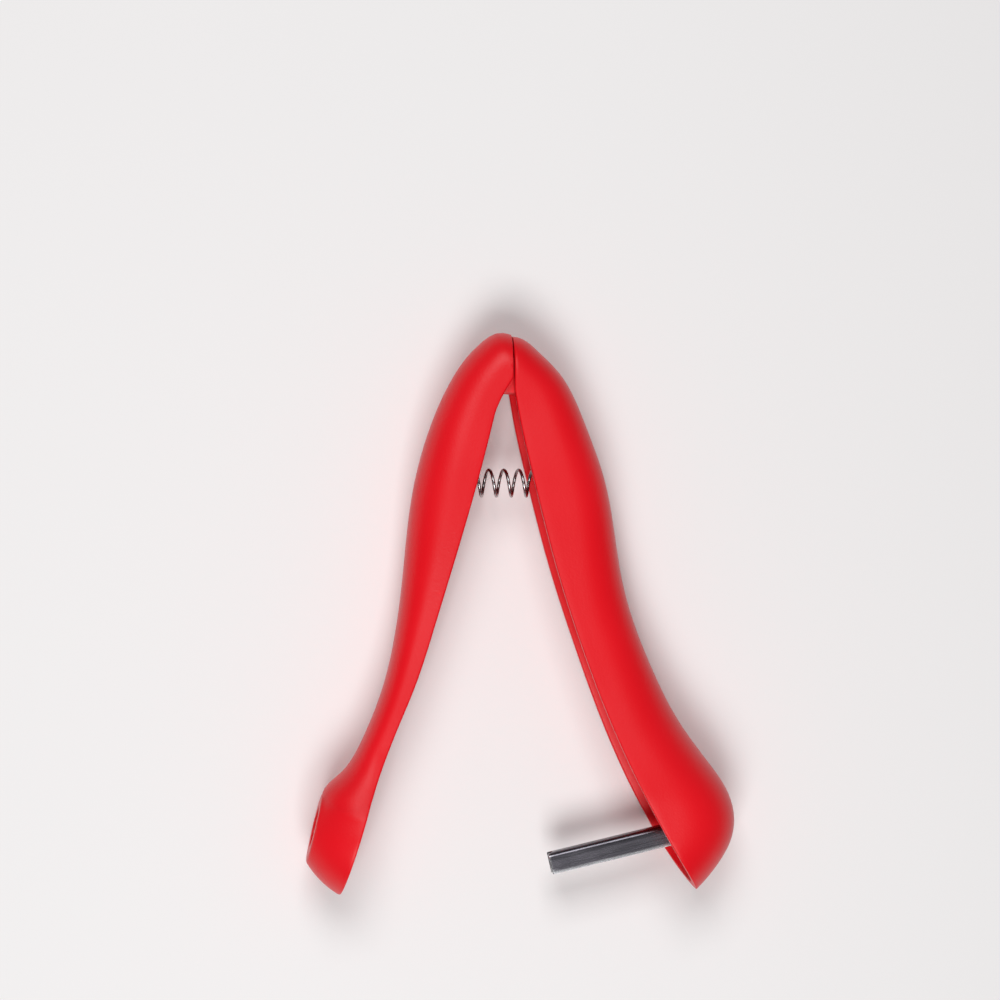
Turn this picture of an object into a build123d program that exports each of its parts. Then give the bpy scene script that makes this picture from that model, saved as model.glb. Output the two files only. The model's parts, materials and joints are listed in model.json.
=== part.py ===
from build123d import *
import math
import os

# Cherry pitter: two hollow moulded arms on a hinge pin, opened by a spring.
# One arm ends in a cup for the cherry, the other in a splash shield that holds a steel punch.
# The tool lies on its side: +Y runs from the arm tips to the hinge, +X from the cup arm to the
# punch arm, +Z up along the hinge axis. All lengths are millimetres and all angles degrees.
# Each arm is drawn along its own line from the hinge axis: reach is measured along that line
# and depth away from it, towards the arm's back. The hinge axis is the origin while the pieces
# are made, and at the end all of them move so that the tool lies on the plane Z = 0.

# Hinge: ears of the punch arm turn on a pin held in bosses of the cup arm
PIN_RADIUS = 1.5
PIN_FIT = 0.02
EAR_FIT = 0.05
EAR_RADIUS = 3.4
EAR_INNER = 3.0
EAR_THICKNESS = 2.3
EAR_SIDE_GAP = 0.2
EAR_ROOT_X = 4.4
EAR_RISE = 5.0
EAR_DROP = 3.8
PIN_SKIN = 0.9
PIN_END_GAP = 0.2
PIN_CHAMFER = 0.3
SEAM_X = 3.25
SEAM_GAP = 0.3

# The cup arm's bosses stop at its side of the seam, clear of the punch arm as it turns
CUP_BOSS_RADIUS = SEAM_X - SEAM_GAP / 2

# Both arms
WALL = 2.0
CUP_ARM_ANGLE = 16.0
PUNCH_ARM_ANGLE = 15.0
HINGE_WIDTH = 17.0
GRIP_WIDTH = 18.6
ROUNDING_FULLNESS = 0.6
HINGE_ROUNDING = 8.0
GRIP_ROUNDING = 8.8

# Cup arm: width and rounding of its back at the neck and at the cup's shoulder
CUP_NECK_REACH = 75.0
CUP_NECK_WIDTH = 14.4
CUP_NECK_ROUNDING = 4.2
CUP_NECK_END = 86.0
CUP_SHOULDER_REACH = 103.0
CUP_SHOULDER_WIDTH = 20.0
CUP_SHOULDER_ROUNDING = 9.0
CUP_GRIP_REACH = 25.0
CUP_ROOT_DEPTH = -5.4
CUP_FAN_REACH = 4.7
CUP_LIP_DEPTH = -1.5

# Punch arm: width and rounding of its back at the waist and at the shield
PUNCH_GRIP_REACH = 28.0
PUNCH_WAIST_REACH = 60.0
PUNCH_WAIST_WIDTH = 18.0
PUNCH_WAIST_ROUNDING = 9.5
SHIELD_REACH = 106.0
SHIELD_ROUNDING = 13.5
PUNCH_ROOT_DEPTH = -1.3
PUNCH_FAN_REACH = 5.4
SHIELD_FAN_REACH = 98.0
FAN_SPREAD = 0.22
FAN_EASE = 9.0

# Cup
CUP_REACH = 107.9
CUP_RIM_DEPTH = 1.6
CUP_TILT = 1.5
CUP_RADIUS = 13.0
CUP_DEPTH = 10.05
CUP_BASE_RADIUS = 7.5
CUP_BASE_TILT = 4.0
CUP_SIDE_BULGE = 0.8
OUTLET_RADIUS = 4.6

# The shield is as wide as the cup that it covers
SHIELD_WIDTH = 2 * CUP_RADIUS

# Punch
PUNCH_REACH = 108.9
PUNCH_ANGLE = 13.1
PUNCH_TIP = 13.0
PUNCH_ROOT = 24.0
PUNCH_HEIGHT = 4.8
PUNCH_WIDTH = 4.2
PUNCH_SHEET = 0.8
PUNCH_BEND = 1.1
PUNCH_NOTCH_RADIUS = PUNCH_WIDTH / 2 - PUNCH_SHEET
SOCKET_FRONT = 16.5
SOCKET_WALL = 2.0
SOCKET_CORNER = 1.6
SOCKET_FIT = 0.05

# Spring
SPRING_DROP = 23.6
SPRING_RADIUS = 2.95
WIRE_RADIUS = 0.35
SPRING_TURNS = 10.5
END_PITCH = 1.25
END_TURNS = 0.75
RAMP_TURNS = 0.5
SPAN_TURNS = 0.5
POINTS_PER_TURN = 48
SEAT_GAP = 0.12
CUP_SEAT_X = -13.5
PUNCH_SEAT_X = 18.5
SEAT_RADIUS = 4.2
SPIGOT_RADIUS = 2.2
SPIGOT_LENGTH = 5.0
SPIGOT_CHAMFER = 0.6

# Backs of the arms in side view: reach and depth of each section, from the hinge outwards
CUP_ARM_BACK = [
    (-10.1, -1.5), (-9.9, 2.2), (-6.0, 5.9), (-2.5, 7.75), (3.6, 9.7), (10.5, 10.9), (20.0, 11.5),
    (30.0, 11.05), (40.5, 9.5), (51.0, 7.6), (62.0, 6.05), (73.0, 5.45), (84.4, 6.4), (90.6, 7.6),
    (94.0, 8.9), (97.0, 10.8), (99.8, 11.9), (103.0, 11.2),
]
PUNCH_ARM_BACK = [
    (-8.4, 4.8), (-7.4, 7.2), (-3.3, 10.6), (3.2, 14.2), (9.2, 15.8), (17.0, 16.8), (28.3, 17.6),
    (39.2, 16.85), (50.0, 15.7), (61.0, 15.7), (72.8, 17.1), (84.6, 19.6), (96.0, 23.9),
    (103.0, 26.3), (108.5, 26.5), (113.6, 24.6), (118.4, 20.2), (122.0, 15.2), (124.3, 10.4),
    (125.4, 6.5),
]

# Lips of the arms in side view: reach and depth of the points that the lip runs through
CUP_ARM_LIP = [(8.0, -1.3), (14.0, CUP_LIP_DEPTH), (57.0, CUP_LIP_DEPTH), (72.0, -0.95),
               (82.0, 0.2), (92.0, 1.1)]
PUNCH_ARM_LIP = [(3.8, 2.5), (9.0, 2.0), (24.0, 1.4), (46.0, 1.3), (60.0, 2.0), (76.0, 3.35),
                 (92.0, 5.6), (108.0, 9.1), (121.9, 13.4), (126.0, 15.0)]

# Reach of the tools that cut and trim, past everything here
UP = Vector(0, 0, 1)
FAR = 60.0
CLEAR = 15.0

# How far a hollow runs past the arm's first and last section, as a share of the next span
END_RUN = 0.3


def arm_point(side, angle, reach, depth):
    """Point in the plane Z = 0 at a reach and depth of the arm on one side (-1 or 1)."""
    turn = math.radians(angle)
    across = reach * math.sin(turn) + depth * math.cos(turn)
    along = depth * math.sin(turn) - reach * math.cos(turn)
    return Vector(side * across, along, 0)


def cup_point(reach, depth):
    return arm_point(-1, CUP_ARM_ANGLE, reach, depth)


def punch_point(reach, depth):
    return arm_point(1, PUNCH_ARM_ANGLE, reach, depth)


def eased(rows, reach):
    """Value at a reach, eased between rows of (reach, value)."""
    if reach <= rows[0][0]:
        return rows[0][1]
    for (start, first), (end, second) in zip(rows, rows[1:]):
        if reach <= end:
            share = (1 - math.cos(math.pi * (reach - start) / (end - start))) / 2
            return first + (second - first) * share
    return rows[-1][1]


def arm_section(back, root, width, rounding, inset):
    """Flat-sided section with a rounded back, drawn inset by a wall's thickness."""
    inward = (root - back).normalized()
    half = width / 2 - inset
    crown = back + inward * inset
    shoulder = back + inward * rounding
    bow = ROUNDING_FULLNESS
    edges = []
    for side in (1, -1):
        edge_root = root + UP * (side * half)
        edge_side = shoulder + UP * (side * half)
        pull_side = edge_side - inward * ((rounding - inset) * bow)
        pull_crown = crown + UP * (side * half * bow)
        edges.append(Line(edge_root, edge_side))
        edges.append(Bezier(edge_side, pull_side, pull_crown, crown))
    edges.append(Line(root + UP * half, root - UP * half))
    return Face(Wire(edges))


def run_past(stations):
    """Stations whose first and last lie a little past the arm's own, so that a hollow cuts through."""
    ends = []
    for end, before in ((stations[0], stations[1]), (stations[-1], stations[-2])):
        ends.append(tuple(a + (a - b) * END_RUN for a, b in zip(end, before)))
    return [ends[0]] + stations[1:-1] + [ends[1]]


def arm_loft(stations, place, widths, roundings, root_reach, root_depth, inset):
    """Solid through one section for each station of the back, run past its ends when inset."""
    sections = []
    if inset:
        stations = run_past(stations)
    for reach, depth in stations:
        root = place(root_reach(reach), root_depth)
        sections.append(
            arm_section(place(reach, depth), root, eased(widths, reach), eased(roundings, reach), inset)
        )
    return loft(sections)


def greater(a, b):
    """The greater of two lengths, with an eased passage from one to the other."""
    return (a + b + math.hypot(a - b, FAN_EASE)) / 2


def cup_root_reach(reach):
    """The sections of the hinge end spread like a fan from below the hinge."""
    top = CUP_ARM_BACK[0][0]
    return greater(reach, CUP_FAN_REACH + FAN_SPREAD * (reach - top))


def punch_root_reach(reach):
    """The sections of the hinge end and of the shield's tip each spread like a fan."""
    top = PUNCH_ARM_BACK[0][0]
    upper = greater(reach, PUNCH_FAN_REACH + FAN_SPREAD * (reach - top))
    return -greater(-upper, -SHIELD_FAN_REACH - FAN_SPREAD * (reach - SHIELD_FAN_REACH))


def cup_arm_form(inset):
    widths = [(0, HINGE_WIDTH), (CUP_GRIP_REACH, GRIP_WIDTH), (CUP_NECK_REACH, CUP_NECK_WIDTH),
              (CUP_NECK_END, CUP_NECK_WIDTH), (CUP_SHOULDER_REACH, CUP_SHOULDER_WIDTH)]
    roundings = [(0, HINGE_ROUNDING), (CUP_GRIP_REACH, GRIP_ROUNDING),
                 (CUP_NECK_REACH, CUP_NECK_ROUNDING), (CUP_NECK_END, CUP_NECK_ROUNDING),
                 (CUP_SHOULDER_REACH, CUP_SHOULDER_ROUNDING)]
    return arm_loft(CUP_ARM_BACK, cup_point, widths, roundings, cup_root_reach, CUP_ROOT_DEPTH, inset)


def punch_arm_form(inset):
    widths = [(0, HINGE_WIDTH), (PUNCH_GRIP_REACH, GRIP_WIDTH), (PUNCH_WAIST_REACH, PUNCH_WAIST_WIDTH),
              (SHIELD_REACH, SHIELD_WIDTH)]
    roundings = [(0, HINGE_ROUNDING), (PUNCH_GRIP_REACH, GRIP_ROUNDING),
                 (PUNCH_WAIST_REACH, PUNCH_WAIST_ROUNDING), (SHIELD_REACH, SHIELD_ROUNDING)]
    return arm_loft(
        PUNCH_ARM_BACK, punch_point, widths, roundings, punch_root_reach, PUNCH_ROOT_DEPTH, inset
    )


def slab(edges):
    """Region of the side view, cut right through the arm."""
    return extrude(Face(Wire(edges)), FAR / 2, both=True, dir=(0, 0, 1))


def cup_rim_direction():
    return arm_point(-1, CUP_ARM_ANGLE + CUP_TILT, 1, 0)


def cup_centre():
    return cup_point(CUP_REACH, CUP_RIM_DEPTH)


def cup_mouth():
    """Everything on the open side of the cup arm: past its seam, lip and rim."""
    seam = SEAM_X - SEAM_GAP / 2
    lip = [cup_point(*row) for row in CUP_ARM_LIP]
    nose = Vector(seam, -SEAM_GAP, 0)
    rim_start = cup_centre() - cup_rim_direction() * CUP_RADIUS
    rim_end = cup_centre() + cup_rim_direction() * (CUP_RADIUS + CLEAR)
    corners = [rim_end, Vector(FAR, rim_end.Y, 0), Vector(FAR, FAR, 0), Vector(seam, FAR, 0), nose]
    edges = [SagittaArc(nose, lip[0], -SEAM_GAP), Spline(*lip), Line(lip[-1], rim_start),
             Line(rim_start, rim_end)]
    edges += [Line(a, b) for a, b in zip(corners, corners[1:])]
    return slab(edges)


def punch_mouth():
    """Everything on the open side of the punch arm: past its seam and lip."""
    seam = SEAM_X + SEAM_GAP / 2
    lip = [punch_point(*row) for row in PUNCH_ARM_LIP]
    nose = Vector(seam, lip[0].Y, 0)
    lip[0] = nose
    past_tip = lip[-1] + (lip[-1] - lip[-2]).normalized() * CLEAR
    corners = [lip[-1], past_tip, Vector(-FAR, past_tip.Y, 0), Vector(-FAR, FAR, 0), Vector(seam, FAR, 0),
               nose]
    edges = [Spline(*lip)] + [Line(a, b) for a, b in zip(corners, corners[1:])]
    return slab(edges)


def disc(radius, low, high, centre=Vector(0, 0, 0)):
    """Round bar along Z between two heights."""
    base = Plane(origin=Vector(centre.X, centre.Y, low))
    return extrude(base * Circle(radius), high - low)


def cup_bowl(inset):
    """Solid of the cup's outside, or of its hollow when inset by the wall."""
    rim = CUP_RADIUS - inset
    base = CUP_BASE_RADIUS - inset
    depth = CUP_DEPTH - inset
    outline = [
        Line((0, -WALL), (rim, -WALL)),
        Line((rim, -WALL), (rim, 0)),
        SagittaArc((rim, 0), (base, depth), -CUP_SIDE_BULGE),
        Line((base, depth), (base, depth + WALL)),
        Line((base, depth + WALL), (0, depth + WALL)),
        Line((0, depth + WALL), (0, -WALL)),
    ]
    return cup_plane() * Rot(90, 0, 0) * revolve(Face(Wire(outline)), Axis.Y) & above_base(inset)


def above_base(inset):
    """Region of the side view between the cup's rim and its tilted base."""
    along = arm_point(-1, CUP_ARM_ANGLE + CUP_TILT - CUP_BASE_TILT, 1, 0)
    above = Vector(-along.Y, along.X, 0)
    middle = cup_centre() + cup_plane().z_dir * CUP_DEPTH + above * inset
    near, far = middle - along * CLEAR * 2, middle + along * CLEAR * 2
    corners = [near, far, far + above * FAR, near + above * FAR]
    return slab([Line(a, b) for a, b in zip(corners, corners[1:] + corners[:1])])


def cup_plane():
    """Plane of the cup's rim, its Z axis towards the cup's bottom."""
    along = cup_rim_direction()
    return Plane(origin=cup_centre(), x_dir=along, z_dir=Vector(along.Y, -along.X, 0))


def spring_boss(seat_x, toward):
    """Seat and spigot for one end of the spring, along +X or -X."""
    face = Plane(origin=(seat_x, -SPRING_DROP, 0), z_dir=(toward, 0, 0))
    seat = extrude(face * Circle(SEAT_RADIUS), -CLEAR)
    spigot = extrude(face * Circle(SPIGOT_RADIUS), SPIGOT_LENGTH)
    tip = spigot.faces().sort_by(Axis.X)[-1 if toward > 0 else 0]
    return seat, chamfer(tip.edges(), SPIGOT_CHAMFER)


def inside_wall(side):
    """Height at which what stands on a side wall is rooted, halfway through the wall."""
    return side * (HINGE_WIDTH - WALL) / 2


def cup_arm():
    """Hollow arm and cup, with the pin's bosses and the spring's seat rooted in the wall."""
    shell = cup_arm_form(0) - cup_arm_form(WALL) + cup_bowl(0) - cup_bowl(WALL)
    seat, spigot = spring_boss(CUP_SEAT_X, 1)
    shell += seat & cup_arm_form(WALL / 2)
    shell += spigot
    shell -= cup_mouth()
    boss_face = EAR_INNER + EAR_THICKNESS + EAR_SIDE_GAP
    for side in (1, -1):
        low, high = sorted((side * boss_face, inside_wall(side)))
        shell += disc(CUP_BOSS_RADIUS, low, high)
    shell -= disc(PIN_RADIUS + PIN_FIT, -FAR, HINGE_WIDTH / 2 - PIN_SKIN)
    shell -= extrude(cup_plane() * Circle(OUTLET_RADIUS), CUP_DEPTH + CLEAR)
    return shell


def punch_frame():
    """Plane whose X axis is the hinge's Z axis and whose Z axis is the way the punch points."""
    turn = math.radians(PUNCH_ANGLE)
    away = Vector(math.sin(turn), -math.cos(turn), 0)
    ahead = Vector(-math.cos(turn), -math.sin(turn), 0)
    return Plane(origin=away * PUNCH_REACH, x_dir=UP, z_dir=ahead)


def punch_profile(grow):
    """Channel section of the punch, its web on the hinge side, grown by a fit on every face."""
    frame = punch_frame()
    web_side = 1 if frame.y_dir.Y > 0 else -1
    outer = RectangleRounded(PUNCH_WIDTH + 2 * grow, PUNCH_HEIGHT * 2, PUNCH_BEND + grow)
    inner = RectangleRounded(
        PUNCH_WIDTH - 2 * PUNCH_SHEET - 2 * grow, PUNCH_HEIGHT * 2, PUNCH_BEND - PUNCH_SHEET
    )
    web = PUNCH_HEIGHT / 2
    outer = Pos(0, web_side * (web + grow - PUNCH_HEIGHT)) * outer
    inner = Pos(0, web_side * (web - PUNCH_SHEET - grow - PUNCH_HEIGHT)) * inner
    keep = Rectangle(PUNCH_WIDTH * 2, PUNCH_HEIGHT + 2 * grow)
    return frame * ((outer - inner) & keep)


def along_punch(sketch, start, end):
    """Extrude a sketch of the punch frame between two distances ahead of the frame."""
    ahead = punch_frame().z_dir
    return extrude(sketch.moved(Location(ahead * start)), end - start, dir=ahead)


def punch():
    """Folded sheet with a notch in its web's tip, which leaves two prongs to hold the stone."""
    frame = punch_frame()
    tip = Plane(origin=frame.origin + frame.z_dir * PUNCH_TIP, z_dir=frame.y_dir)
    notch = extrude(tip * Circle(PUNCH_NOTCH_RADIUS), PUNCH_HEIGHT, both=True)
    return along_punch(punch_profile(0), -PUNCH_ROOT, PUNCH_TIP) - notch


def punch_socket():
    """Block behind the punch, from the shield's back wall to its front."""
    block = RectangleRounded(PUNCH_WIDTH + 2 * SOCKET_WALL, PUNCH_HEIGHT + 2 * SOCKET_WALL, SOCKET_CORNER)
    return along_punch(punch_frame() * block, -FAR, -SOCKET_FRONT)


def plate(corners, low, high):
    """Flat plate of the side view between two heights."""
    return extrude(Plane(origin=(0, 0, low)) * make_face(Polyline(*corners, close=True)), high - low)


def punch_arm():
    """Hollow arm and shield, with ears, spring seat and punch socket rooted in the wall."""
    core = punch_arm_form(WALL / 2)
    shell = punch_arm_form(0) - punch_arm_form(WALL)
    seat, spigot = spring_boss(PUNCH_SEAT_X, -1)
    shell += seat & core
    shell += spigot
    shell += punch_socket() & core
    shell -= punch_mouth()
    shell -= along_punch(punch_profile(SOCKET_FIT), -PUNCH_ROOT - SOCKET_FIT, PUNCH_TIP)
    neck_x = EAR_ROOT_X + EAR_RADIUS
    root = [(EAR_ROOT_X, EAR_RISE), (FAR, EAR_RISE), (FAR, -EAR_DROP), (EAR_ROOT_X, -EAR_DROP)]
    neck = [(0, EAR_RADIUS), (neck_x, EAR_RISE), (neck_x, -EAR_DROP), (0, -EAR_RADIUS)]
    for side in (1, -1):
        low, high = sorted((side * EAR_INNER, inside_wall(side)))
        shell += plate(root, low, high) & core
        low, high = sorted((side * EAR_INNER, side * (EAR_INNER + EAR_THICKNESS)))
        shell += plate(neck, low, high)
        shell += disc(EAR_RADIUS, low, high)
    return shell - disc(PIN_RADIUS + EAR_FIT, -FAR, FAR / 2)


def hinge_pin():
    high = HINGE_WIDTH / 2 - PIN_SKIN - PIN_END_GAP
    pin = disc(PIN_RADIUS, -HINGE_WIDTH / 2 + PIN_END_GAP, high)
    ends = pin.faces().filter_by(Plane.XY).edges()
    return chamfer(ends, PIN_CHAMFER)


def spring_advance(turns, pitch):
    """How far the wire has gone along the spring's axis after some turns."""
    if turns > SPRING_TURNS / 2:
        whole = 2 * spring_advance(SPRING_TURNS / 2, pitch)
        return whole - spring_advance(SPRING_TURNS - turns, pitch)
    ramp = min(max(turns - END_TURNS, 0), RAMP_TURNS)
    steeper = ramp * ramp / (2 * RAMP_TURNS) + max(turns - END_TURNS - RAMP_TURNS, 0)
    return END_PITCH * turns + (pitch - END_PITCH) * steeper


def spring_nodes():
    """Points and directions of the spring's wire, one for each span; its ends have a finer pitch."""
    start = CUP_SEAT_X + SEAT_GAP + WIRE_RADIUS
    length = PUNCH_SEAT_X - SEAT_GAP - WIRE_RADIUS - start
    wide = SPRING_TURNS - 2 * END_TURNS - RAMP_TURNS
    pitch = (length - END_PITCH * (SPRING_TURNS - wide)) / wide
    nodes = []
    for step in range(round(SPRING_TURNS / SPAN_TURNS) + 1):
        turns = step * SPAN_TURNS
        edge = min(turns, SPRING_TURNS - turns)
        ramp = min(max((edge - END_TURNS) / RAMP_TURNS, 0), 1)
        lead = END_PITCH + (pitch - END_PITCH) * ramp
        along = start + spring_advance(turns, pitch)
        angle = 2 * math.pi * turns
        point = Vector(along, -SPRING_DROP + SPRING_RADIUS * math.cos(angle), SPRING_RADIUS * math.sin(angle))
        way = Vector(lead / (2 * math.pi), -SPRING_RADIUS * math.sin(angle), SPRING_RADIUS * math.cos(angle))
        nodes.append((point, way.normalized()))
    return nodes


def biarc(start, start_way, end, end_way):
    """Two tangent arcs from one point and direction to another."""
    across = end - start
    ways = start_way + end_way
    bend = 2 * (1 - start_way.dot(end_way))
    reach = (-across.dot(ways) + math.sqrt(across.dot(ways) ** 2 + bend * across.dot(across))) / bend
    middle = (start + end + (start_way - end_way) * reach) * 0.5
    way = (end - middle - end_way * reach) + (middle - start - start_way * reach)
    way = way.normalized()
    return [TangentArc(start, middle, tangent=start_way), TangentArc(middle, end, tangent=way)]


def spring():
    nodes = spring_nodes()
    tail = WIRE_RADIUS * 2
    first, first_way = nodes[0]
    last, last_way = nodes[-1]
    edges = [Line(first - first_way * tail, first)]
    for (start, start_way), (end, end_way) in zip(nodes, nodes[1:]):
        edges += biarc(start, start_way, end, end_way)
    edges.append(Line(last, last + last_way * tail))
    wire = Wire(edges)
    section = Plane(origin=first - first_way * tail, z_dir=first_way) * Circle(WIRE_RADIUS)
    report_spring(wire)
    return sweep(section, path=wire)


def report_spring(wire):
    """Print the wire's least gap to itself, measured on points along it."""
    count = round(SPRING_TURNS * POINTS_PER_TURN)
    points = [wire.position_at(i / count) for i in range(count + 1)]
    apart = POINTS_PER_TURN // 2
    least = min(
        (points[i] - points[j]).length for i in range(count) for j in range(i + apart, count + 1)
    )
    print(f"spring: least gap to itself {least - 2 * WIRE_RADIUS:.2f} mm")


def main():
    os.makedirs("parts", exist_ok=True)
    nodes = {
        "cup_arm": cup_arm(),
        "punch_arm": punch_arm(),
        "hinge_pin": hinge_pin(),
        "punch": punch(),
        "spring": spring(),
    }
    box = Compound(children=[Compound(shape.solids()) for shape in nodes.values()]).bounding_box()
    hinge = Vector(-box.center().X, -box.center().Y, -box.min.Z)
    print(f"hinge axis at {hinge.X:.3f}, {hinge.Y:.3f}, {hinge.Z:.3f}; size {box.size}")
    for name, shape in nodes.items():
        export_step(shape.moved(Location(hinge)), f"parts/{name}.step")


main()
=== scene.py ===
"""Cherry pitter: the looks of its moulded arms, cup, splash shield, spring and punch.

The tool lies on its side: +Y runs from the arm tips to the hinge, +X from the cup arm to the
punch arm, and +Z up along the hinge axis. Shapes are drawn in millimetres from the hinge axis,
and Hinge turns them into metres in the frame. Each arm is drawn along its own line from the
hinge: reach is measured along that line, and depth away from it, towards the arm's back.
"""

import json
import logging
import math
from collections.abc import Sequence
from dataclasses import dataclass, field
from enum import Enum

import bmesh
import bpy
import numpy as np
from mathutils import Matrix, Vector
from mathutils.bvhtree import BVHTree
from mathutils.interpolate import poly_3d_calc

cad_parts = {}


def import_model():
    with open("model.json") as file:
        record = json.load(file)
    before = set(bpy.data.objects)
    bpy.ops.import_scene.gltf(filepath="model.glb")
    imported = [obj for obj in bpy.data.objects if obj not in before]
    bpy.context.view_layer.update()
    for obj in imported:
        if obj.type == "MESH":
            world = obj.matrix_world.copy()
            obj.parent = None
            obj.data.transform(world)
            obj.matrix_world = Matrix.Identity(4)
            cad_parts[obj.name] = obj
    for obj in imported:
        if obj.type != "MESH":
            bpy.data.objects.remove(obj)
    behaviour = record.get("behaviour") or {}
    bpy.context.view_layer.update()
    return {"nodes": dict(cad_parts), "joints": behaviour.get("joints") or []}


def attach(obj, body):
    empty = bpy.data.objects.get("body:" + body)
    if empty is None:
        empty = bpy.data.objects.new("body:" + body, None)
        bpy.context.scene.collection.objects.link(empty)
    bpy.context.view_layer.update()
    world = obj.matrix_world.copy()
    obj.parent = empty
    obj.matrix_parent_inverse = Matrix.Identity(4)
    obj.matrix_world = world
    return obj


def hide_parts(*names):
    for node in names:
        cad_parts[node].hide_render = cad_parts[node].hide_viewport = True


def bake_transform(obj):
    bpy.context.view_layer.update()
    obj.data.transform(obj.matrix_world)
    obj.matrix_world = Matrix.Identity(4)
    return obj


MM = 0.001
LOG = logging.getLogger("cherry_pitter")

# The camera's frame, and what one pixel of it covers in the plane of the hinge's middle
PHOTO_SIDE = 1000
PIXEL = 0.2245 * MM

# Samples of an arm's back that lie by the hinge, and the first one that lies by its tip
HINGE_SAMPLES = 200
TIP_SAMPLE = 900

# Height in millimetres, well over the tool, at which the line of its seam starts
SEAM_START = 30.0

# Points closer than this, in millimetres, are one point of a mesh
WELD = 0.002

# Edges that turn by more than this stay sharp
SMOOTH_ANGLE = math.radians(38)

# Two steps that span less area than this, in square millimetres, run side by side
SIDE_BY_SIDE = 1e-12

Rows = tuple[tuple[float, float], ...]
Point = tuple[float, float] | np.ndarray
Rgb = tuple[float, float, float]
Thing = bpy.types.Object
Node = bpy.types.Node
Socket = bpy.types.NodeSocket
Value = float | Socket
Colour = Rgb | Socket


class Cap(Enum):
    """How the first and last ring of a shell are closed."""

    NONE = "none"
    LADDER = "ladder"
    FLAT = "flat"


class Cut(Enum):
    """What a cut leaves of the shells that it is made in."""

    OUTSIDE = "DIFFERENCE"
    INSIDE = "INTERSECT"


class Body(Enum):
    """The bodies that turn against each other on the hinge pin."""

    CUP_ARM = "cup_arm"
    PUNCH_ARM = "punch_arm"


class Slot(Enum):
    """The record's material slots."""

    PLASTIC = "arm_plastic"
    WIRE = "spring_wire"
    PUNCH = "punch_steel"


@dataclass(frozen=True)
class Hinge:
    """The middle of the hinge axis in the frame, in metres."""

    x: float
    y: float
    z: float

    def matrix(self) -> Matrix:
        """Turns millimetres from the hinge axis into metres in the frame."""
        return Matrix.Translation((self.x, self.y, self.z)) @ Matrix.Scale(MM, 4)

    def point(self, x: float, y: float, z: float = 0.0) -> Vector:
        """One point of the frame, from millimetres."""
        return self.matrix() @ Vector((x, y, z))


class SmoothLine:
    """Natural cubic spline through the points of a side view."""

    def __init__(self, points: np.ndarray) -> None:
        """Solves the spline.

        Args:
            points: The points that the line runs through, one row each.
        """
        self.points = np.asarray(points, float)
        steps = np.linalg.norm(np.diff(self.points, axis=0), axis=1)
        self.knots = np.concatenate([[0], np.cumsum(steps)])
        count = len(self.points)
        matrix = np.eye(count)
        right = np.zeros_like(self.points)
        slopes = np.diff(self.points, axis=0) / steps[:, None]
        for i in range(1, count - 1):
            matrix[i, i - 1:i + 2] = steps[i - 1], 2 * (steps[i - 1] + steps[i]), steps[i]
            right[i] = 6 * (slopes[i] - slopes[i - 1])
        self.bends = np.linalg.solve(matrix, right)

    def sample(self, count: int) -> np.ndarray:
        """Points along the whole line.

        Args:
            count: How many points.

        Returns:
            The points, one row each.
        """
        at = np.linspace(0, self.knots[-1], count)
        left = np.clip(np.searchsorted(self.knots, at, side="right") - 1, 0, len(self.knots) - 2)
        width = (self.knots[left + 1] - self.knots[left])[:, None]
        after = (at - self.knots[left])[:, None] / width
        before = 1 - after
        straight = before * self.points[left] + after * self.points[left + 1]
        start_bend = (before ** 3 - before) * self.bends[left]
        end_bend = (after ** 3 - after) * self.bends[left + 1]
        return straight + (start_bend + end_bend) * width ** 2 / 6


def eased(rows: Rows, reach: np.ndarray) -> np.ndarray:
    """Values at some reaches, eased between rows of (reach, value).

    Args:
        rows: Pairs of reach and value, from the hinge outwards.
        reach: Where the values are wanted.

    Returns:
        One value for each reach.
    """
    places = np.array([row[0] for row in rows], float)
    values = np.array([row[1] for row in rows], float)
    left = np.clip(np.searchsorted(places, reach, side="right") - 1, 0, len(rows) - 2)
    share = np.clip((reach - places[left]) / (places[left + 1] - places[left]), 0, 1)
    return values[left] + (values[left + 1] - values[left]) * (1 - np.cos(np.pi * share)) / 2


def greater(a: np.ndarray, b: np.ndarray, ease: float) -> np.ndarray:
    """The greater of two lengths, with an eased passage from one to the other."""
    return (a + b + np.hypot(a - b, ease)) / 2


def lengths_along(points: np.ndarray) -> np.ndarray:
    """The distance from the first point to each point of a path."""
    steps = np.linalg.norm(np.diff(points, axis=0), axis=1)
    return np.concatenate([[0], np.cumsum(steps)])


def spaced(points: np.ndarray, step: float, first: float, corners: list[float]) -> np.ndarray:
    """Points along a path, evenly spaced in its middle and closer towards its ends.

    Args:
        points: The path, as closely spaced points.
        step: The distance between points in the middle.
        first: The distance between the first two points, and between the last two.
        corners: Distances along the path at which there has to be a point.

    Returns:
        The spaced points, one row each.
    """
    growth = 1.4
    ramp = first * growth ** np.arange(math.floor(math.log(step / first) / math.log(growth)) + 1)
    ends = np.cumsum(ramp)
    along = lengths_along(points)
    total = along[-1]
    middle = round((total - 2 * ends[-1]) / step)
    inner = np.linspace(ends[-1], total - ends[-1], middle + 1)
    at = np.concatenate([[0], ends[:-1], inner, total - ends[-2::-1], [total]])
    for corner in corners:
        at[np.argmin(np.abs(at - corner))] = corner
    return np.stack([np.interp(at, along, points[:, i]) for i in range(2)], axis=1)


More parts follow.
